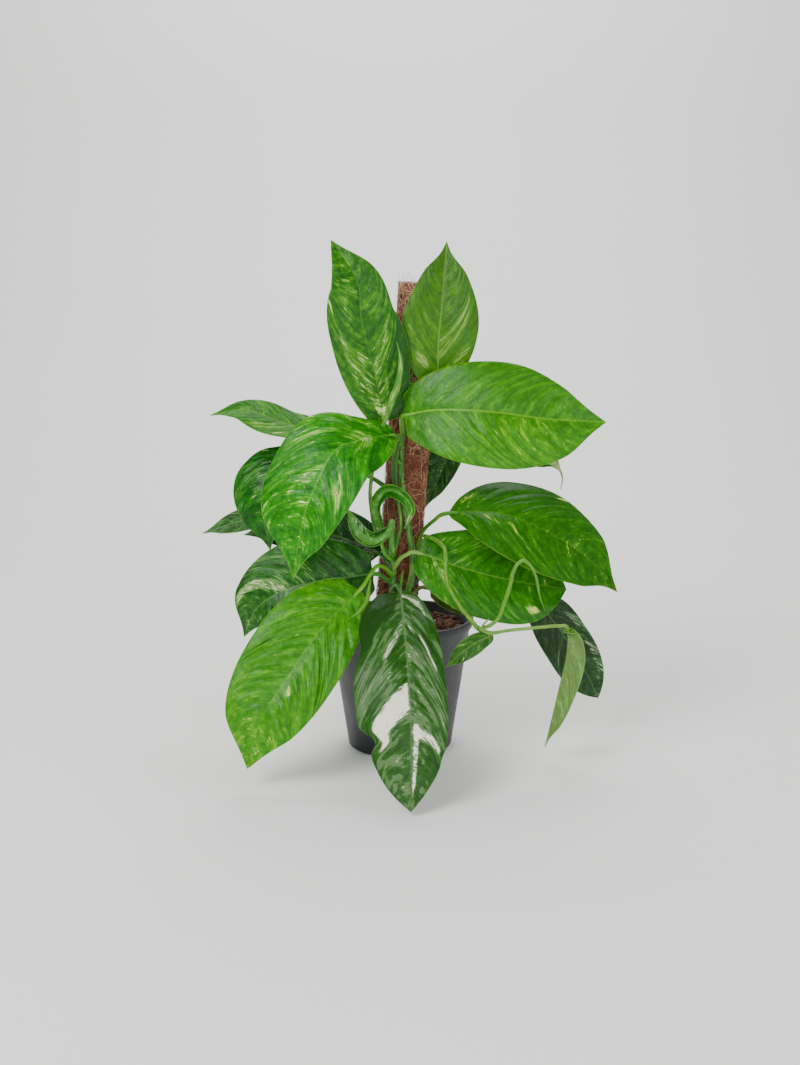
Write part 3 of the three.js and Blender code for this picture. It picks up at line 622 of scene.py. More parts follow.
def winged_stalk_piece(name, shape, material, start, end, half):
    """The thin wings of a stalk's sheath, cupped round a channel that looks forward."""
    course = Course(shape["stalk"] + shape["rib"])
    stalk_share = course.share_of_point(len(shape["stalk"]))
    base_up = leaf_frame(shape, course, stalk_share, 0)[2]
    columns = 12
    rings = 60
    frames = travelling_frames(course, rings, base_up, stalk_share * end, stalk_share * start)[::-1]
    bm = bmesh.new()
    bm.loops.layers.uv.new("along")
    bmesh.ops.create_grid(bm, x_segments=columns, y_segments=rings, size=1, calc_uvs=True)
    for vert in bm.verts:
        along = (vert.co.y + 1) / 2
        point, tangent, up = frames[round(along * rings)]
        width = half * ease(0, 0.35, along) ** 0.8 * (1 - 0.55 * ease(0.6, 1, along)) + 1.2
        cup = 1.5 + 2.4 * vert.co.x ** 2 * (width / half)
        vert.co = (point + tangent.cross(up) * vert.co.x * width + up * cup) * MM
    piece = finish_piece(name, bm, [material], [shape["name"]])
    thicken(piece, WING_THICKNESS)


# Stems, shoots and roots

SCAR_OFFSET = 0.09


def radius_along(radii, along):
    """The radius at a place along a stem, between the radii that it is given."""
    place = min(along, 0.9999) * (len(radii) - 1)
    first = int(place)
    return blend(radii[first], radii[first + 1], ease(0, 1, place - first))


def stem_piece(name, material, sides=14):
    """A round stem that swells a little at each joint, with a scar just above it where a leaf was."""
    stem = STEMS[name]
    course = Course(stem["path"])
    rings = max(16, round(course.length / 1.6))
    frames = travelling_frames(course, rings, Vector((0.2, -1, 0.1)))
    bm = bmesh.new()
    bm.loops.layers.uv.new("along")

    def place(along, turn):
        swelling = 0.0
        if stem["joints"]:
            phase = (along * stem["joints"]) % 1 - 0.5
            swelling = 0.16 * math.exp(-(phase / 0.06) ** 2)
            swelling -= 0.1 * math.exp(-((phase - SCAR_OFFSET) / 0.015) ** 2)
        uneven = 0.03 * noise.noise(Vector((math.cos(turn), math.sin(turn), along * 30)))
        radius = radius_along(stem["radii"], along) * (1 + swelling + uneven)
        return ring_point(frames[round(along * rings)], turn, radius) * MM

    rolled_sheet(bm, rings, place, sides)
    finish_piece(name + "_tissue", bm, [material], [name])


# The coir pole

POLE_AXIS = (POLE_HEAD - POLE_FOOT).normalized()
POLE_LENGTH = (POLE_HEAD - POLE_FOOT).length
POLE_FRONT = squared_to(Vector((0, -1, 0)), POLE_AXIS)
POLE_SIDE = POLE_AXIS.cross(POLE_FRONT)
FIBRE_STEPS = 6


def on_pole(distance, turn, radius):
    """A point at a distance up the pole, a turn round it and a radius from its axis."""
    around = POLE_SIDE * math.cos(turn) + POLE_FRONT * math.sin(turn)
    return POLE_FOOT + POLE_AXIS * distance + around * radius


def coir_mat(material):
    """The matted coir under the loose fibres, lumpy all round, with an open top where the core shows."""
    bm = bmesh.new()
    bm.loops.layers.uv.new("along")
    side_rings = 240
    top_rings = 12
    inner_rings = 8
    rings = side_rings + top_rings + inner_rings
    top = POLE_LENGTH - 1.5 * MM
    foot_radius = COIR_RADIUS * 0.93
    top_radius = COIR_RADIUS * 0.965
    inside = CORE_RADIUS + 0.6 * MM
    crown = 1.2 * MM
    inner_depth = 14 * MM

    def place(along, turn):
        ring = round(along * rings)
        if ring <= side_rings:
            distance = blend(COIR_START, top, ring / side_rings)
            radius = blend(foot_radius, top_radius, ring / side_rings)
        elif ring <= side_rings + top_rings:
            share = (ring - side_rings) / top_rings
            distance = top + crown * math.sin(math.pi * share)
            radius = blend(top_radius, inside, share)
        else:
            distance = top - inner_depth * (ring - side_rings - top_rings) / inner_rings
            radius = inside
        spot = on_pole(distance, turn, radius)
        lumps = noise.noise(spot / (14 * MM)) * 1.0 * MM + noise.noise(spot / (3.2 * MM)) * 0.7 * MM
        if ring <= side_rings:
            return on_pole(distance, turn, radius + lumps)
        return on_pole(distance + lumps * 0.7, turn, radius)

    rolled_sheet(bm, rings, place, POT_SIDES)
    finish_piece("coir_mat", bm, [material], ["coir_sleeve"])


def fibre_curve(name, radius):
    """An empty curve that gives each of its fibres four sides and closed ends."""
    curve = bpy.data.curves.new(name, "CURVE")
    curve.dimensions = "3D"
    curve.bevel_depth = radius
    curve.bevel_resolution = 0
    curve.use_fill_caps = True
    return curve


def finish_fibres(curve, material):
    """Links a curve of coir fibres and hides the solid coir that it stands for."""
    curve.materials.append(material)
    piece = bpy.data.objects.new(curve.name, curve)
    bpy.context.scene.collection.objects.link(piece)
    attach(piece, "root")
    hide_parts("coir_sleeve")


def coir_fibres(name, material, count, seed, stray, lowest=0.0, gathering=1.0):
    """Loose coir fibres that wander over the mat, a stray share of them with an end standing off. They
    start from the lowest share of the pole, and a gathering under 1 brings more of them to the top."""
    rng = random.Random(seed)
    curve = fibre_curve(name, 0.3 * MM)
    low = blend(COIR_START, POLE_LENGTH, lowest)
    for _ in range(count):
        length = rng.uniform(16, 52) * MM
        heading = rng.uniform(0, 2 * math.pi)
        turn = rng.uniform(0, 2 * math.pi)
        distance = blend(low, POLE_LENGTH, rng.random() ** gathering)
        spline = curve.splines.new("POLY")
        spline.points.add(FIBRE_STEPS)
        step = length / FIBRE_STEPS
        bend = rng.uniform(-0.5, 0.5)
        width = rng.uniform(0.45, 1.3)
        height = rng.uniform(-0.7, 0.5) * MM
        loose = rng.random() < stray
        for i, point in enumerate(spline.points):
            share = i / FIBRE_STEPS
            rise = height + 0.5 * MM * math.sin(share * 7 + turn * 5)
            if loose:
                rise += rng.uniform(2, 5) * MM * share ** 3
            distance_here = min(max(distance, COIR_START), POLE_LENGTH + 0.5 * MM)
            spot = on_pole(distance_here, turn, COIR_RADIUS + rise)
            point.co = (spot.x, spot.y, spot.z, 1)
            point.radius = width * (1 - 0.5 * share)
            distance += math.sin(heading) * step
            turn += math.cos(heading) * step / COIR_RADIUS
            heading += bend * 0.5 + rng.uniform(-0.25, 0.25)
    finish_fibres(curve, material)


def coir_wisps(material):
    """The few long fibres that stand up out of the top of the pole."""
    rng = random.Random(15)
    curve = fibre_curve("coir_wisps", 0.25 * MM)
    rooted = 8 * MM
    for _ in range(34):
        turn = rng.uniform(0, 2 * math.pi)
        lean = rng.uniform(-0.5, 0.5)
        length = rng.uniform(6, 19) * MM
        reach = rng.uniform(0.6, 0.98) * COIR_RADIUS
        spline = curve.splines.new("POLY")
        spline.points.add(FIBRE_STEPS)
        for i, point in enumerate(spline.points):
            share = i / FIBRE_STEPS
            distance = POLE_LENGTH - rooted + (length + rooted) * share
            spot = on_pole(distance, turn + lean * share ** 2, reach * (1 + 0.15 * share ** 2))
            point.co = (spot.x, spot.y, spot.z, 1)
            point.radius = 1 - 0.7 * share
    finish_fibres(curve, material)


# Materials


def tone(text):
    """A colour written as sRGB hex, turned linear."""
    parts = [int(text[i:i + 2], 16) / 255 for i in (0, 2, 4)]
    linear = [part / 12.92 if part <= 0.04045 else ((part + 0.055) / 1.055) ** 2.4 for part in parts]
    return (*linear, 1.0)


def connect(node, inputs):
    """Sets inputs of a node, each to a value, to a socket, or to the first output of another node."""
    for key, value in inputs.items():
        if isinstance(value, bpy.types.Node):
            value = value.outputs[0]
        if isinstance(value, bpy.types.NodeSocket):
            node.id_data.links.new(value, node.inputs[key])
        else:
            node.inputs[key].default_value = value


def add(tree, kind, inputs=None, **settings):
    """Adds a node with its settings and its inputs."""
    node = tree.nodes.new(kind)
    for name, value in settings.items():
        setattr(node, name, value)
    connect(node, inputs or {})
    return node


def new_material(name):
    """An empty material, its tree and shader, and the object's own coordinates to place patterns by."""
    material = bpy.data.materials.new(name)
    material.use_nodes = True
    tree = material.node_tree
    tree.nodes.clear()
    shader = add(tree, "ShaderNodeBsdfPrincipled")
    add(tree, "ShaderNodeOutputMaterial", {"Surface": shader})
    return material, tree, shader, add(tree, "ShaderNodeTexCoord").outputs["Object"]


def weighed(tree, parts, offset=0.0):
    """The sum of an offset and a few values, each times its weight."""
    total = offset
    for value, weight in parts:
        total = add(tree, "ShaderNodeMath", {0: value, 1: weight, 2: total}, operation="MULTIPLY_ADD")
    return total


# Where a Mix node of colours has the one beneath, the one on top, and its result
UNDER = 6
TOP = 7
MIXED = 2


def laid_on(tree, under, top, value, low, high, most=1.0):
    """A tone over the one beneath it: not at all where a value is low, and the most where it is high."""
    share = add(tree, "ShaderNodeMapRange",
                {"Value": value, "From Min": low, "From Max": high, "To Max": most},
                interpolation_type="SMOOTHSTEP")
    mixed = add(tree, "ShaderNodeMix", {"Factor": share, UNDER: under, TOP: top}, data_type="RGBA")
    return mixed.outputs[MIXED]


# What keeps the streaks of a leaf's two halves, and of one leaf and the next, from being the same
HALVES_APART = 7.3
LEAVES_APART = 3.1

# How sharply sage and cream patches end, the tone and share that pale the underside, and worn plastic
SAGE_BLUR = 0.012
CREAM_BLUR = (0.008, 0.02)
UNDERSIDE_GREEN = "7d9c5c"
UNDERSIDE_SHARE = 0.4
SCUFFED_GREY = "4a4c50"


def leaf_tissue(name, shape, palette, seed, underside=False):
    """Living leaf tissue: green where it has chlorophyll and cream where it lacks it, in streaks that
    follow the side veins, with a waxy sheen above and a paler matt underside."""
    material, tree, shader, place = new_material(name)
    length = Course(shape["rib"]).length
    breadth = sum(shape["half"])
    dark, mid, light, sage, cream = [tone(palette[key]) for key in ("dark", "mid", "light", "sage", "cream")]
    uv = add(tree, "ShaderNodeUVMap", uv_map="veins")
    parts = add(tree, "ShaderNodeSeparateXYZ", {0: uv})
    step = parts.outputs[1]
    right = add(tree, "ShaderNodeMath", {0: parts, 1: 0.5}, operation="GREATER_THAN")
    across = weighed(tree, [(right, HALVES_APART)], parts.outputs[0])
    split = add(tree, "ShaderNodeCombineXYZ", {0: across, 1: step, 2: seed * LEAVES_APART})

    def vein_noise(size_across, size_along, detail):
        """Uneven tissue, in streaks of a size in millimetres that lie along the side veins."""
        stretch = (breadth / size_across, length / size_along, 1)
        mapped = add(tree, "ShaderNodeVectorMath", {0: split, 1: stretch}, operation="MULTIPLY")
        return add(tree, "ShaderNodeTexNoise",
                   {"Vector": mapped, "Scale": 1, "Detail": detail, "Roughness": 0.6, "Distortion": 0.2})

    # How green each spot is, from the deepest green to the lightest
    mottle = add(tree, "ShaderNodeTexNoise", {"Vector": place, "Scale": 1 / (6 * MM), "Detail": 5})
    patch = vein_noise(28, 11, 4)
    streak = vein_noise(15, 2.4, 4)
    dash = vein_noise(9, 1.5, 2)
    # Paleness from the leaf's marks, with the painted sheen that is listed among them
    pale = add(tree, "ShaderNodeAttribute", attribute_name="paleness").outputs["Fac"]
    depth = weighed(tree, [(patch, 0.65), (streak, 0.35), (mottle, 0.4), (pale, 0.7)], -0.2)
    ground = add(tree, "ShaderNodeValToRGB", {0: depth})
    stops = ground.color_ramp.elements
    stops[0].position = 0.38
    stops[0].color = dark
    stops[1].position = 0.64
    stops[1].color = light
    stops.new(0.51).color = mid

    # A painted shade line in the sunken groove along each side vein, then the sage patches and the cream
    # dashes
    count = add(tree, "ShaderNodeMath", {0: step, 1: shape["veins"]}, operation="MULTIPLY")
    ripple = add(tree, "ShaderNodeMath", {0: count, 1: 0.5}, operation="PINGPONG")
    groove = weighed(tree, [(ripple, 1.0), (streak, 0.2), (patch, 0.2)], -0.2)
    colour = laid_on(tree, ground, dark, groove, 0.06, 0.0, 0.45)
    level = palette["sage_at"]
    marbling = palette["marbling"]
    marbled = weighed(tree, [(patch, marbling), (streak, 1.5 - marbling), (pale, 1.0)], -0.25)
    colour = laid_on(tree, colour, sage, marbled, level - SAGE_BLUR, level + SAGE_BLUR, 0.85)
    level = palette["cream_at"]
    dashed = weighed(tree, [(patch, 0.5), (dash, 1.0), (pale, 1.0)], -0.25)
    colour = laid_on(tree, colour, cream, dashed, level - CREAM_BLUR[0], level + CREAM_BLUR[1])

    # A pale midrib that fades towards the tip, a thin pale margin, and a greyer underside
    rib = palette["rib"]
    fading = add(tree, "ShaderNodeMapRange", {"Value": step, "To Min": rib, "To Max": rib * 0.4})
    from_rib = add(tree, "ShaderNodeAttribute", attribute_name="from_rib").outputs["Fac"]
    colour = laid_on(tree, colour, sage, from_rib, 1.5, 0.6, fading)
    from_edge = add(tree, "ShaderNodeAttribute", attribute_name="from_edge").outputs["Fac"]
    colour = laid_on(tree, colour, sage, from_edge, 0.8, 0.2, 0.7)
    if underside:
        shares = {"Factor": UNDERSIDE_SHARE, UNDER: colour, TOP: tone(UNDERSIDE_GREEN)}
        colour = add(tree, "ShaderNodeMix", shares, data_type="RGBA").outputs[MIXED]

    # The fine grain of the cells and the streaks, and a sheen that changes from patch to patch
    cells = add(tree, "ShaderNodeTexVoronoi", {"Vector": place, "Scale": 1 / (2.2 * MM)},
                feature="SMOOTH_F1")
    relief = weighed(tree, [(streak, 1.2), (dash, 0.6)], cells)
    bump = add(tree, "ShaderNodeBump", {"Height": relief, "Strength": 0.6, "Distance": 0.45 * MM})
    low, high = (0.55, 0.65) if underside else (0.25, 0.38)
    gloss = add(tree, "ShaderNodeMapRange",
                {"Value": patch, "From Min": 0.3, "From Max": 0.7, "To Min": low, "To Max": high})
    connect(shader, {"Base Color": colour, "Roughness": gloss, "Normal": bump,
                     "Specular IOR Level": palette["sheen"]})
    return material


def stem_tissue(name, base, pale, scar, streak_width=1.1, joints=0):
    """Smooth living stem: green with pale lengthwise streaks, and a brown line at each joint."""
    material, tree, shader, place = new_material(name)
    uv = add(tree, "ShaderNodeUVMap", uv_map="along")
    stretch = (9 / streak_width, 14, 1)
    stretched = add(tree, "ShaderNodeVectorMath", {0: uv, 1: stretch}, operation="MULTIPLY")
    streak = add(tree, "ShaderNodeTexNoise", {"Vector": stretched, "Scale": 1, "Detail": 3})
    colour = laid_on(tree, tone(base), tone(pale), streak, 0.46, 0.66)
    if joints:
        along = add(tree, "ShaderNodeSeparateXYZ", {0: uv}).outputs[1]
        count = add(tree, "ShaderNodeMath", {0: along, 1: joints}, operation="MULTIPLY")
        phase = add(tree, "ShaderNodeMath", {0: count}, operation="FRACT")
        away = add(tree, "ShaderNodeMath", {0: phase, 1: 0.5 + SCAR_OFFSET}, operation="SUBTRACT")
        distance = add(tree, "ShaderNodeMath", {0: away}, operation="ABSOLUTE")
        colour = laid_on(tree, colour, tone(scar), distance, 0.03, 0.01, 0.8)
    speck = add(tree, "ShaderNodeTexNoise", {"Vector": place, "Scale": 1 / (0.9 * MM), "Detail": 2})
    bump = add(tree, "ShaderNodeBump", {"Height": speck, "Strength": 0.25, "Distance": 0.2 * MM})
    connect(shader, {"Base Color": colour, "Roughness": 0.42, "Normal": bump, "IOR": 1.42})
    return material


def coir_fibre(name, light, dark, fibre=0.34):
    """Dry coconut fibre, matt and straw to red-brown, each strand a little different along its length."""
    material, tree, shader, place = new_material(name)
    patch = add(tree, "ShaderNodeTexNoise", {"Vector": place, "Scale": 1 / (5 * MM), "Detail": 4})
    fleck = add(tree, "ShaderNodeTexNoise", {"Vector": place, "Scale": 1 / (fibre * 3 * MM), "Detail": 1})
    weathering = weighed(tree, [(patch, 0.5), (fleck, 0.5)])
    colour = laid_on(tree, tone(dark), tone(light), weathering, 0.36, 0.64)
    bump = add(tree, "ShaderNodeBump", {"Height": fleck, "Strength": 0.6, "Distance": 0.3 * MM})
    connect(shader, {"Base Color": colour, "Roughness": 0.85, "Normal": bump})
    return material


def moulded_polypropylene(name, base):
    """Nursery-pot polypropylene, dark and half matt from the mould, with faint scuffs."""
    material, tree, shader, place = new_material(name)
    grain = add(tree, "ShaderNodeTexNoise", {"Vector": place, "Scale": 1 / (0.7 * MM), "Detail": 2})
    scuff = add(tree, "ShaderNodeTexNoise", {"Vector": place, "Scale": 1 / (22 * MM), "Detail": 5})
    colour = laid_on(tree, tone(base), tone(SCUFFED_GREY), scuff, 0.5, 0.72, 0.35)
    rough = add(tree, "ShaderNodeMapRange",
                {"Value": scuff, "From Min": 0.3, "From Max": 0.7, "To Min": 0.42, "To Max": 0.6})
    bump = add(tree, "ShaderNodeBump", {"Height": grain, "Strength": 0.3, "Distance": 0.12 * MM})
    connect(shader, {"Base Color": colour, "Roughness": rough, "Normal": bump})
    return material


def potting_mix(name, dark, light):
    """Damp peat and bark, matt all over, its dark and light crumbs with painted shade that leaves it nearly
    black in its hollows.
    """
    material, tree, shader, place = new_material(name)
    crumb = add(tree, "ShaderNodeTexNoise", {"Vector": place, "Scale": 1 / (2.4 * MM), "Detail": 5})
    # The crumbs that raise the bumps also lighten the tone, so the hollows carry a painted shade
    colour = laid_on(tree, tone(dark), tone(light), crumb, 0.38, 0.68)
    bump = add(tree, "ShaderNodeBump", {"Height": crumb, "Strength": 0.9, "Distance": 1.2 * MM})
    connect(shader, {"Base Color": colour, "Roughness": 0.95, "Normal": bump})
    return material


def studio_paper(name):
    """Matt background paper, so pale and even that it only catches the plant's soft shadow."""
    material, tree, shader, place = new_material(name)
    mottle = add(tree, "ShaderNodeTexNoise", {"Vector": place, "Scale": 2, "Detail": 2})
    shares = {"Factor": mottle, UNDER: tone("f3f2ef"), TOP: tone("f7f6f4")}
    colour = add(tree, "ShaderNodeMix", shares, data_type="RGBA").outputs[MIXED]
    connect(shader, {"Base Color": colour, "Roughness": 0.8})
    return material


# The pot and what fills it


def spun(outline, steps, closed=False):
    """A body spun round the upright axis from an outline of radii and heights."""
    bm = bmesh.new()
    verts = [bm.verts.new((radius, 0, height)) for radius, height in outline]
    following = verts[1:] + verts[:1] if closed else verts[1:]
    edges = [bm.edges.new(pair) for pair in zip(verts, following)]
    bmesh.ops.spin(bm, geom=verts + edges, cent=(0, 0, 0), axis=(0, 0, 1), angle=2 * math.pi, steps=steps,
                   use_merge=True)
    bmesh.ops.remove_doubles(bm, verts=bm.verts, dist=1e-6)
    bmesh.ops.recalc_face_normals(bm, faces=bm.faces)
    return bm


def pot_piece(material):
    """The pot, spun from its wall profile: a tapered cup with a rounded, turned-over lip."""
    lip_foot = POT_HEIGHT - LIP_DEPTH
    wall_at_lip = blend(POT_BASE_RADIUS, POT_RIM_RADIUS, lip_foot / POT_HEIGHT)
    profile = [
        (0, 1 * MM),
        (POT_BASE_RADIUS - 9 * MM, 1 * MM),
        (POT_BASE_RADIUS - 8 * MM, 0),
        (POT_BASE_RADIUS - 2 * MM, 0),
        (POT_BASE_RADIUS - 0.5 * MM, 0.6 * MM),
        (POT_BASE_RADIUS, 2 * MM),
        (blend(POT_BASE_RADIUS, wall_at_lip, 0.5), lip_foot * 0.5),
        (wall_at_lip, lip_foot - 1.2 * MM),
        (wall_at_lip + 0.6 * MM, lip_foot - 0.2 * MM),
        (wall_at_lip + LIP_REACH - 0.6 * MM, lip_foot),
        (wall_at_lip + LIP_REACH, lip_foot + 0.8 * MM),
        (POT_RIM_RADIUS + LIP_REACH, POT_HEIGHT - 1 * MM),
        (POT_RIM_RADIUS + LIP_REACH - 0.8 * MM, POT_HEIGHT),
        (POT_RIM_RADIUS - POT_WALL + 0.6 * MM, POT_HEIGHT),
        (POT_RIM_RADIUS - POT_WALL, POT_HEIGHT - 0.8 * MM),
        (POT_BASE_RADIUS - POT_WALL, POT_FLOOR),
        (0, POT_FLOOR),
    ]
    finish_piece("pot_shell", spun(profile, POT_SIDES), [material], ["pot"])


def soil_piece(material):
    """The crumbly top of the potting mix and the body under it."""
    bm = bmesh.new()
    bm.loops.layers.uv.new("along")
    foot = POT_FLOOR + 0.3 * MM
    bottom_share = 0.4
    top_share = 0.5

    def wall_at(height):
        return blend(POT_BASE_RADIUS, POT_RIM_RADIUS, height / POT_HEIGHT) - POT_WALL - 0.6 * MM

    def place(along, turn):
        if along < bottom_share:
            radius = wall_at(foot) * along / bottom_share
            height = foot
        elif along < top_share:
            height = blend(foot, SOIL_TOP, (along - bottom_share) / (top_share - bottom_share))
            radius = wall_at(height)
        else:
            share = (along - top_share) / (1 - top_share)
            radius = wall_at(SOIL_TOP) * (1 - share)
            height = SOIL_TOP + SOIL_CROWN * (1 - (1 - share) ** 2)
            spot = Vector((radius * math.cos(turn), radius * math.sin(turn), 0))
            crumb = noise.noise(spot / (6 * MM)) + 0.6 * noise.noise(spot / (2.5 * MM))
            height += 1.5 * MM * crumb * ease(0, 0.1, share)
        radius = max(radius, 0.3 * MM)
        return Vector((radius * math.cos(turn), radius * math.sin(turn), height))

    rolled_sheet(bm, 100, place, POT_SIDES)
    finish_piece("soil_body", bm, [material], ["soil"])


def soil_crumbs(name, material, count, seed, small, large):
    """Loose pieces of bark, peat or perlite on top of the soil."""
    rng = random.Random(seed)
    noise.seed_set(seed)
    bm = bmesh.new()
    for _ in range(count):
        size = rng.uniform(small, large) * MM
        reach = math.sqrt(rng.random()) * (POT_RIM_RADIUS - 9 * MM)
        turn = rng.uniform(0, 2 * math.pi)
        height = SOIL_TOP + SOIL_CROWN * (1 - (reach / POT_RIM_RADIUS) ** 2) + size * 0.15
        spot = Vector((reach * math.cos(turn), reach * math.sin(turn), height))
        shape = Matrix.Diagonal((rng.uniform(0.7, 1.6), rng.uniform(0.6, 1.0), rng.uniform(0.4, 0.8), 1))
        turned = Matrix.Rotation(rng.uniform(0, 6.28), 4, "Z")
        tipped = Matrix.Rotation(rng.uniform(-0.5, 0.5), 4, "X")
        placed = Matrix.Translation(spot) @ (turned @ tipped) @ shape
        made = bmesh.ops.create_icosphere(bm, subdivisions=1, radius=size / 2, matrix=placed)["verts"]
        for vert in made:
            vert.co += noise.noise_vector(vert.co / (2 * MM)) * size * 0.18
    finish_piece(name, bm, [material], ["soil"])


def core_piece(material):
    """The plastic tube in the middle of the pole, spun from the outline of its wall."""
    top = POLE_LENGTH - CORE_SHORTFALL
    inner = CORE_RADIUS - CORE_WALL
    outline = [(inner, 0), (CORE_RADIUS, 0), (CORE_RADIUS, top - 0.5 * MM), (CORE_RADIUS - 0.5 * MM, top),
               (inner + 0.4 * MM, top), (inner, top - 0.4 * MM)]
    bm = spun(outline, 48, closed=True)
    lean = Vector((0, 0, 1)).rotation_difference(POLE_AXIS).to_matrix().to_4x4()
    bmesh.ops.transform(bm, matrix=Matrix.Translation(POLE_FOOT) @ lean, verts=bm.verts)
    finish_piece("core_tube", bm, [material], ["pole_core"])


# Camera, lights and floor

IMAGE_HEIGHT = 1065
FOCAL_PIXELS = 1200
SENSOR = 36
AIM = Vector((0, 0, 272)) * MM
CAMERA_DISTANCE = 1500 * MM
CAMERA_ELEVATION = math.radians(10)
STAGE_REACH = 4
STAGE_BACK = 2.4
STAGE_HEIGHT = 3.5
STAGE_CURVE = 1.2


def place_camera():
    """The camera at the photograph's viewing angle."""
    data = bpy.data.cameras.new("camera")
    data.lens = FOCAL_PIXELS * SENSOR / IMAGE_HEIGHT
    data.sensor_width = SENSOR
    camera = bpy.data.objects.new("camera", data)
    back = Vector((0, -math.cos(CAMERA_ELEVATION), math.sin(CAMERA_ELEVATION)))
    camera.location = AIM + back * CAMERA_DISTANCE
    camera.rotation_euler = (-back).to_track_quat("-Z", "Y").to_euler()
    bpy.context.scene.collection.objects.link(camera)
    bpy.context.scene.camera = camera


def place_light(name, spot, size, power, target=AIM):
    """A soft square light that looks at the plant, or at another target."""
    data = bpy.data.lights.new(name, "AREA")
    data.size = size
    data.energy = power
    light = bpy.data.objects.new(name, data)
    light.location = spot
    light.rotation_euler = (Vector(target) - Vector(spot)).to_track_quat("-Z", "Y").to_euler()
    bpy.context.scene.collection.objects.link(light)


def place_stage():
    """A plain pale floor that curves up into a backdrop, and the soft light of the room."""
    bm = bmesh.new()
    outline = ((-STAGE_REACH, 0), (STAGE_BACK, 0), (STAGE_BACK, STAGE_HEIGHT))
    verts = [bm.verts.new((-STAGE_REACH, y, z)) for y, z in outline]
    edges = [bm.edges.new(pair) for pair in zip(verts, verts[1:])]
    swept = bmesh.ops.extrude_edge_only(bm, edges=edges)["geom"]
    far_side = [part for part in swept if isinstance(part, bmesh.types.BMVert)]
    bmesh.ops.translate(bm, vec=(2 * STAGE_REACH, 0, 0), verts=far_side)
    crease = [edge for edge in bm.edges if not edge.is_boundary]
    bmesh.ops.bevel(bm, geom=crease, offset=STAGE_CURVE, offset_type="OFFSET", segments=24, profile=0.5,
                    affect="EDGES", material=-1)
    bmesh.ops.recalc_face_normals(bm, faces=bm.faces)
    mesh = bpy.data.meshes.new("floor")
    bm.to_mesh(mesh)
    bm.free()
    mesh.shade_smooth()
    mesh.materials.append(studio_paper("pale studio paper"))
    floor = bpy.data.objects.new("floor", mesh)
    bpy.context.scene.collection.objects.link(floor)
    world = bpy.data.worlds.new("room")
    world.use_nodes = True
    sky = world.node_tree.nodes["Background"]
    sky.inputs["Color"].default_value = tone("f2f4f7")
    sky.inputs["Strength"].default_value = 0.5
    bpy.context.scene.world = world


place_camera()
place_stage()
place_light("key", spot=(-1.3, -1.7, 1.9), size=1.2, power=58)
place_light("fill", spot=(1.9, -1.3, 1.0), size=1.6, power=16)
place_light("front", spot=(0.2, -2.3, 0.7), size=1.2, power=14)
place_light("top_back", spot=(0.3, 0.9, 2.2), size=1.2, power=5)
place_light("backdrop", spot=(0, 1.3, 2.8), size=1.6, power=50, target=(0, 2.4, 0.4))

# Putting the plant together

JOINT_BROWN = "6a4a2a"
YOUNG_JOINT_BROWN = "7a5a34"

# Marbled tissue, waxy above and matt below, on smooth stalks with pale streaks
for index, shape in enumerate(LEAVES):
    name = shape["name"]
    young = "young" in name or "runner" in name
    palette = TONES[name]
    upper = leaf_tissue(f"{name} upper side", shape, palette, index)
    under = leaf_tissue(f"{name} underside", shape, palette, index, underside=True)
    blade_piece(shape, index, upper, under)
    stalk_tones = (palette["stalk"], palette["sage"], JOINT_BROWN)
    stalk_piece(shape, stem_tissue(f"{name} stalk tissue", *stalk_tones, streak_width=2))

# The two young leaves are half unrolled, in soft and even green
shapes = {shape["name"]: shape for shape in LEAVES}
young_tissue = stem_tissue("young rolled tissue", "3f8420", "6cae48", YOUNG_JOINT_BROWN, streak_width=2)
roll_piece("leaf_young_hook_roll", shapes["leaf_young_hook"], young_tissue, pucker=0.1,
           radii=(2.2, 4.6, 4.6, 2.8, 1.8, 1.3, 0.5))
roll_piece("leaf_young_curled_roll", shapes["leaf_young_curled"], young_tissue, pucker=0.04,
           radii=(3.2, 4.8, 5.2, 4.0, 1.2))

# The wings of the longest stalk are thin, smooth and a little darker than the young leaves
winged = stem_tissue("winged stalk tissue", "2c6c10", "5c9434", YOUNG_JOINT_BROWN)
winged_stalk_piece("leaf_mid_left_wings", shapes["leaf_mid_left"], winged, start=0.45, end=0.99, half=5.6)

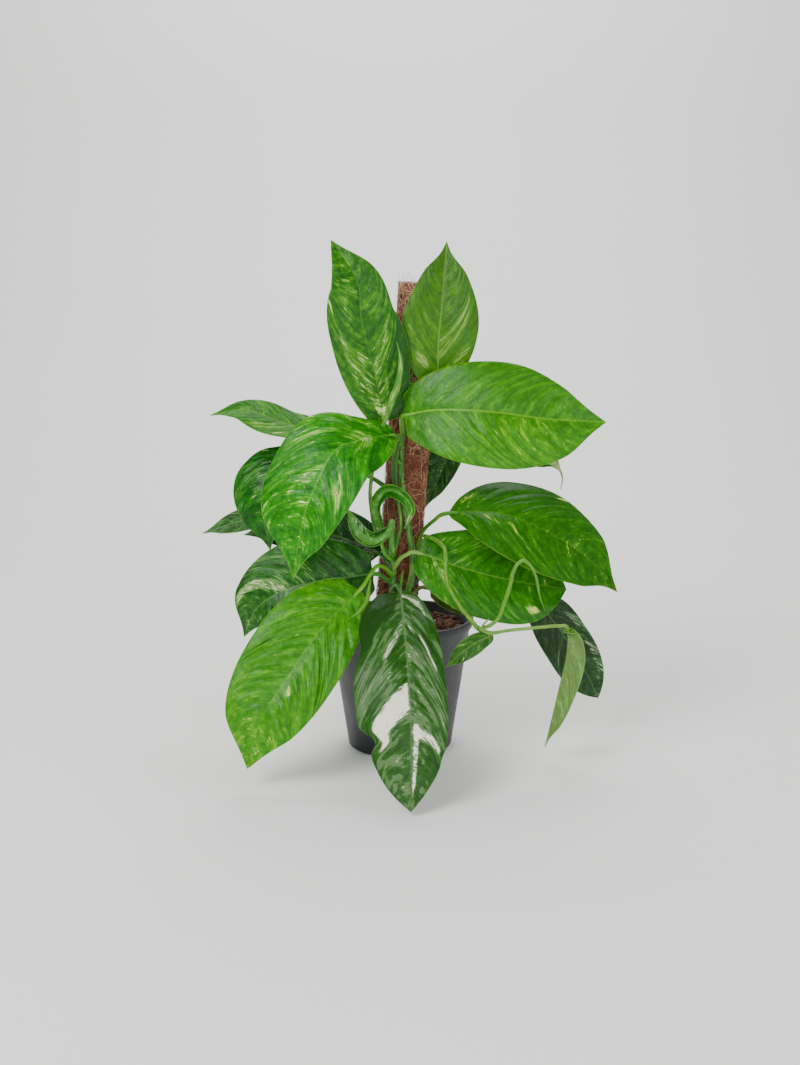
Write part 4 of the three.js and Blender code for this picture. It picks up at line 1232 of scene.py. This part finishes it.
# Old stems are deep green with brown scars, and the runner and the shoots are yellower and fresher
green_stem = stem_tissue("green stem tissue", "34701a", "70a044", JOINT_BROWN,
                         joints=STEMS["stem_main"]["joints"])
left_stem = stem_tissue("green stem tissue, left", "34701a", "70a044", JOINT_BROWN,
                        joints=STEMS["stem_left"]["joints"])
runner_stem = stem_tissue("pale runner tissue", "4c8414", "6ca02c", YOUNG_JOINT_BROWN,
                          joints=STEMS["runner"]["joints"])
shoot_stem = stem_tissue("pale shoot tissue", "4c881a", "689c2c", YOUNG_JOINT_BROWN)
rolled = stem_tissue("rolled new leaf", "3c7c14", "8cb454", YOUNG_JOINT_BROWN, streak_width=0.8)
stem_piece("stem_main", green_stem)
stem_piece("stem_left", left_stem)
stem_piece("shoot_spike", shoot_stem)
stem_piece("leaf_rolled_new", rolled, sides=20)
stem_piece("runner", runner_stem)
for name in ("runner_shoot", "sheath_hook", "root_stub", "runner_root"):
    stem_piece(name, shoot_stem)

# The roots that hold the vine are dry and corky
AERIAL_ROOTS = 5
root_material = coir_fibre("corky aerial root", "a5804e", "5c4326", fibre=0.8)
for index in range(1, AERIAL_ROOTS + 1):
    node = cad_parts[f"aerial_root_{index}"]
    node.data.materials.clear()
    node.data.materials.append(root_material)

# A dark red-brown mat shows between loose fibres from dark brown to straw, all dry and matt
coir_mat(coir_fibre("matted coir", "8c5238", "3a1c10", fibre=0.5))
coir_fibres("coir_fibres_dark", coir_fibre("dark coir fibre", "8c5038", "5a3020"),
            count=800, seed=11, stray=0.06)
coir_fibres("coir_fibres_brown", coir_fibre("brown coir fibre", "c08460", "8c5438"),
            count=1000, seed=12, stray=0.1)
coir_fibres("coir_fibres_tan", coir_fibre("tan coir fibre", "e6b894", "c08864"),
            count=650, seed=13, stray=0.14)
# Straw fibres gather towards the top: partly the coir's own tone, partly painted light on a lit top
coir_fibres("coir_fibres_straw", coir_fibre("straw coir fibre", "f0d0ac", "c89c74"),
            count=700, seed=14, stray=0.16, lowest=0.5, gathering=0.5)
coir_wisps(coir_fibre("loose coir fibre", "e0c09a", "b08c64"))

# The pot and the tube are near-black plastic, and the mix is as dark but for its bark and perlite
core_piece(moulded_polypropylene("core tube polypropylene", "3a3c40"))
pot_piece(moulded_polypropylene("nursery pot polypropylene", "25272b"))
soil_piece(potting_mix("damp potting mix", "1d130c", "4a3523"))
soil_crumbs("soil_bark", potting_mix("bark chips", "3a2517", "7a5636"),
            count=420, seed=21, small=4, large=11)
soil_crumbs("soil_perlite", potting_mix("perlite grains", "b9b4a8", "e8e4da"),
            count=90, seed=22, small=2, large=4.5)
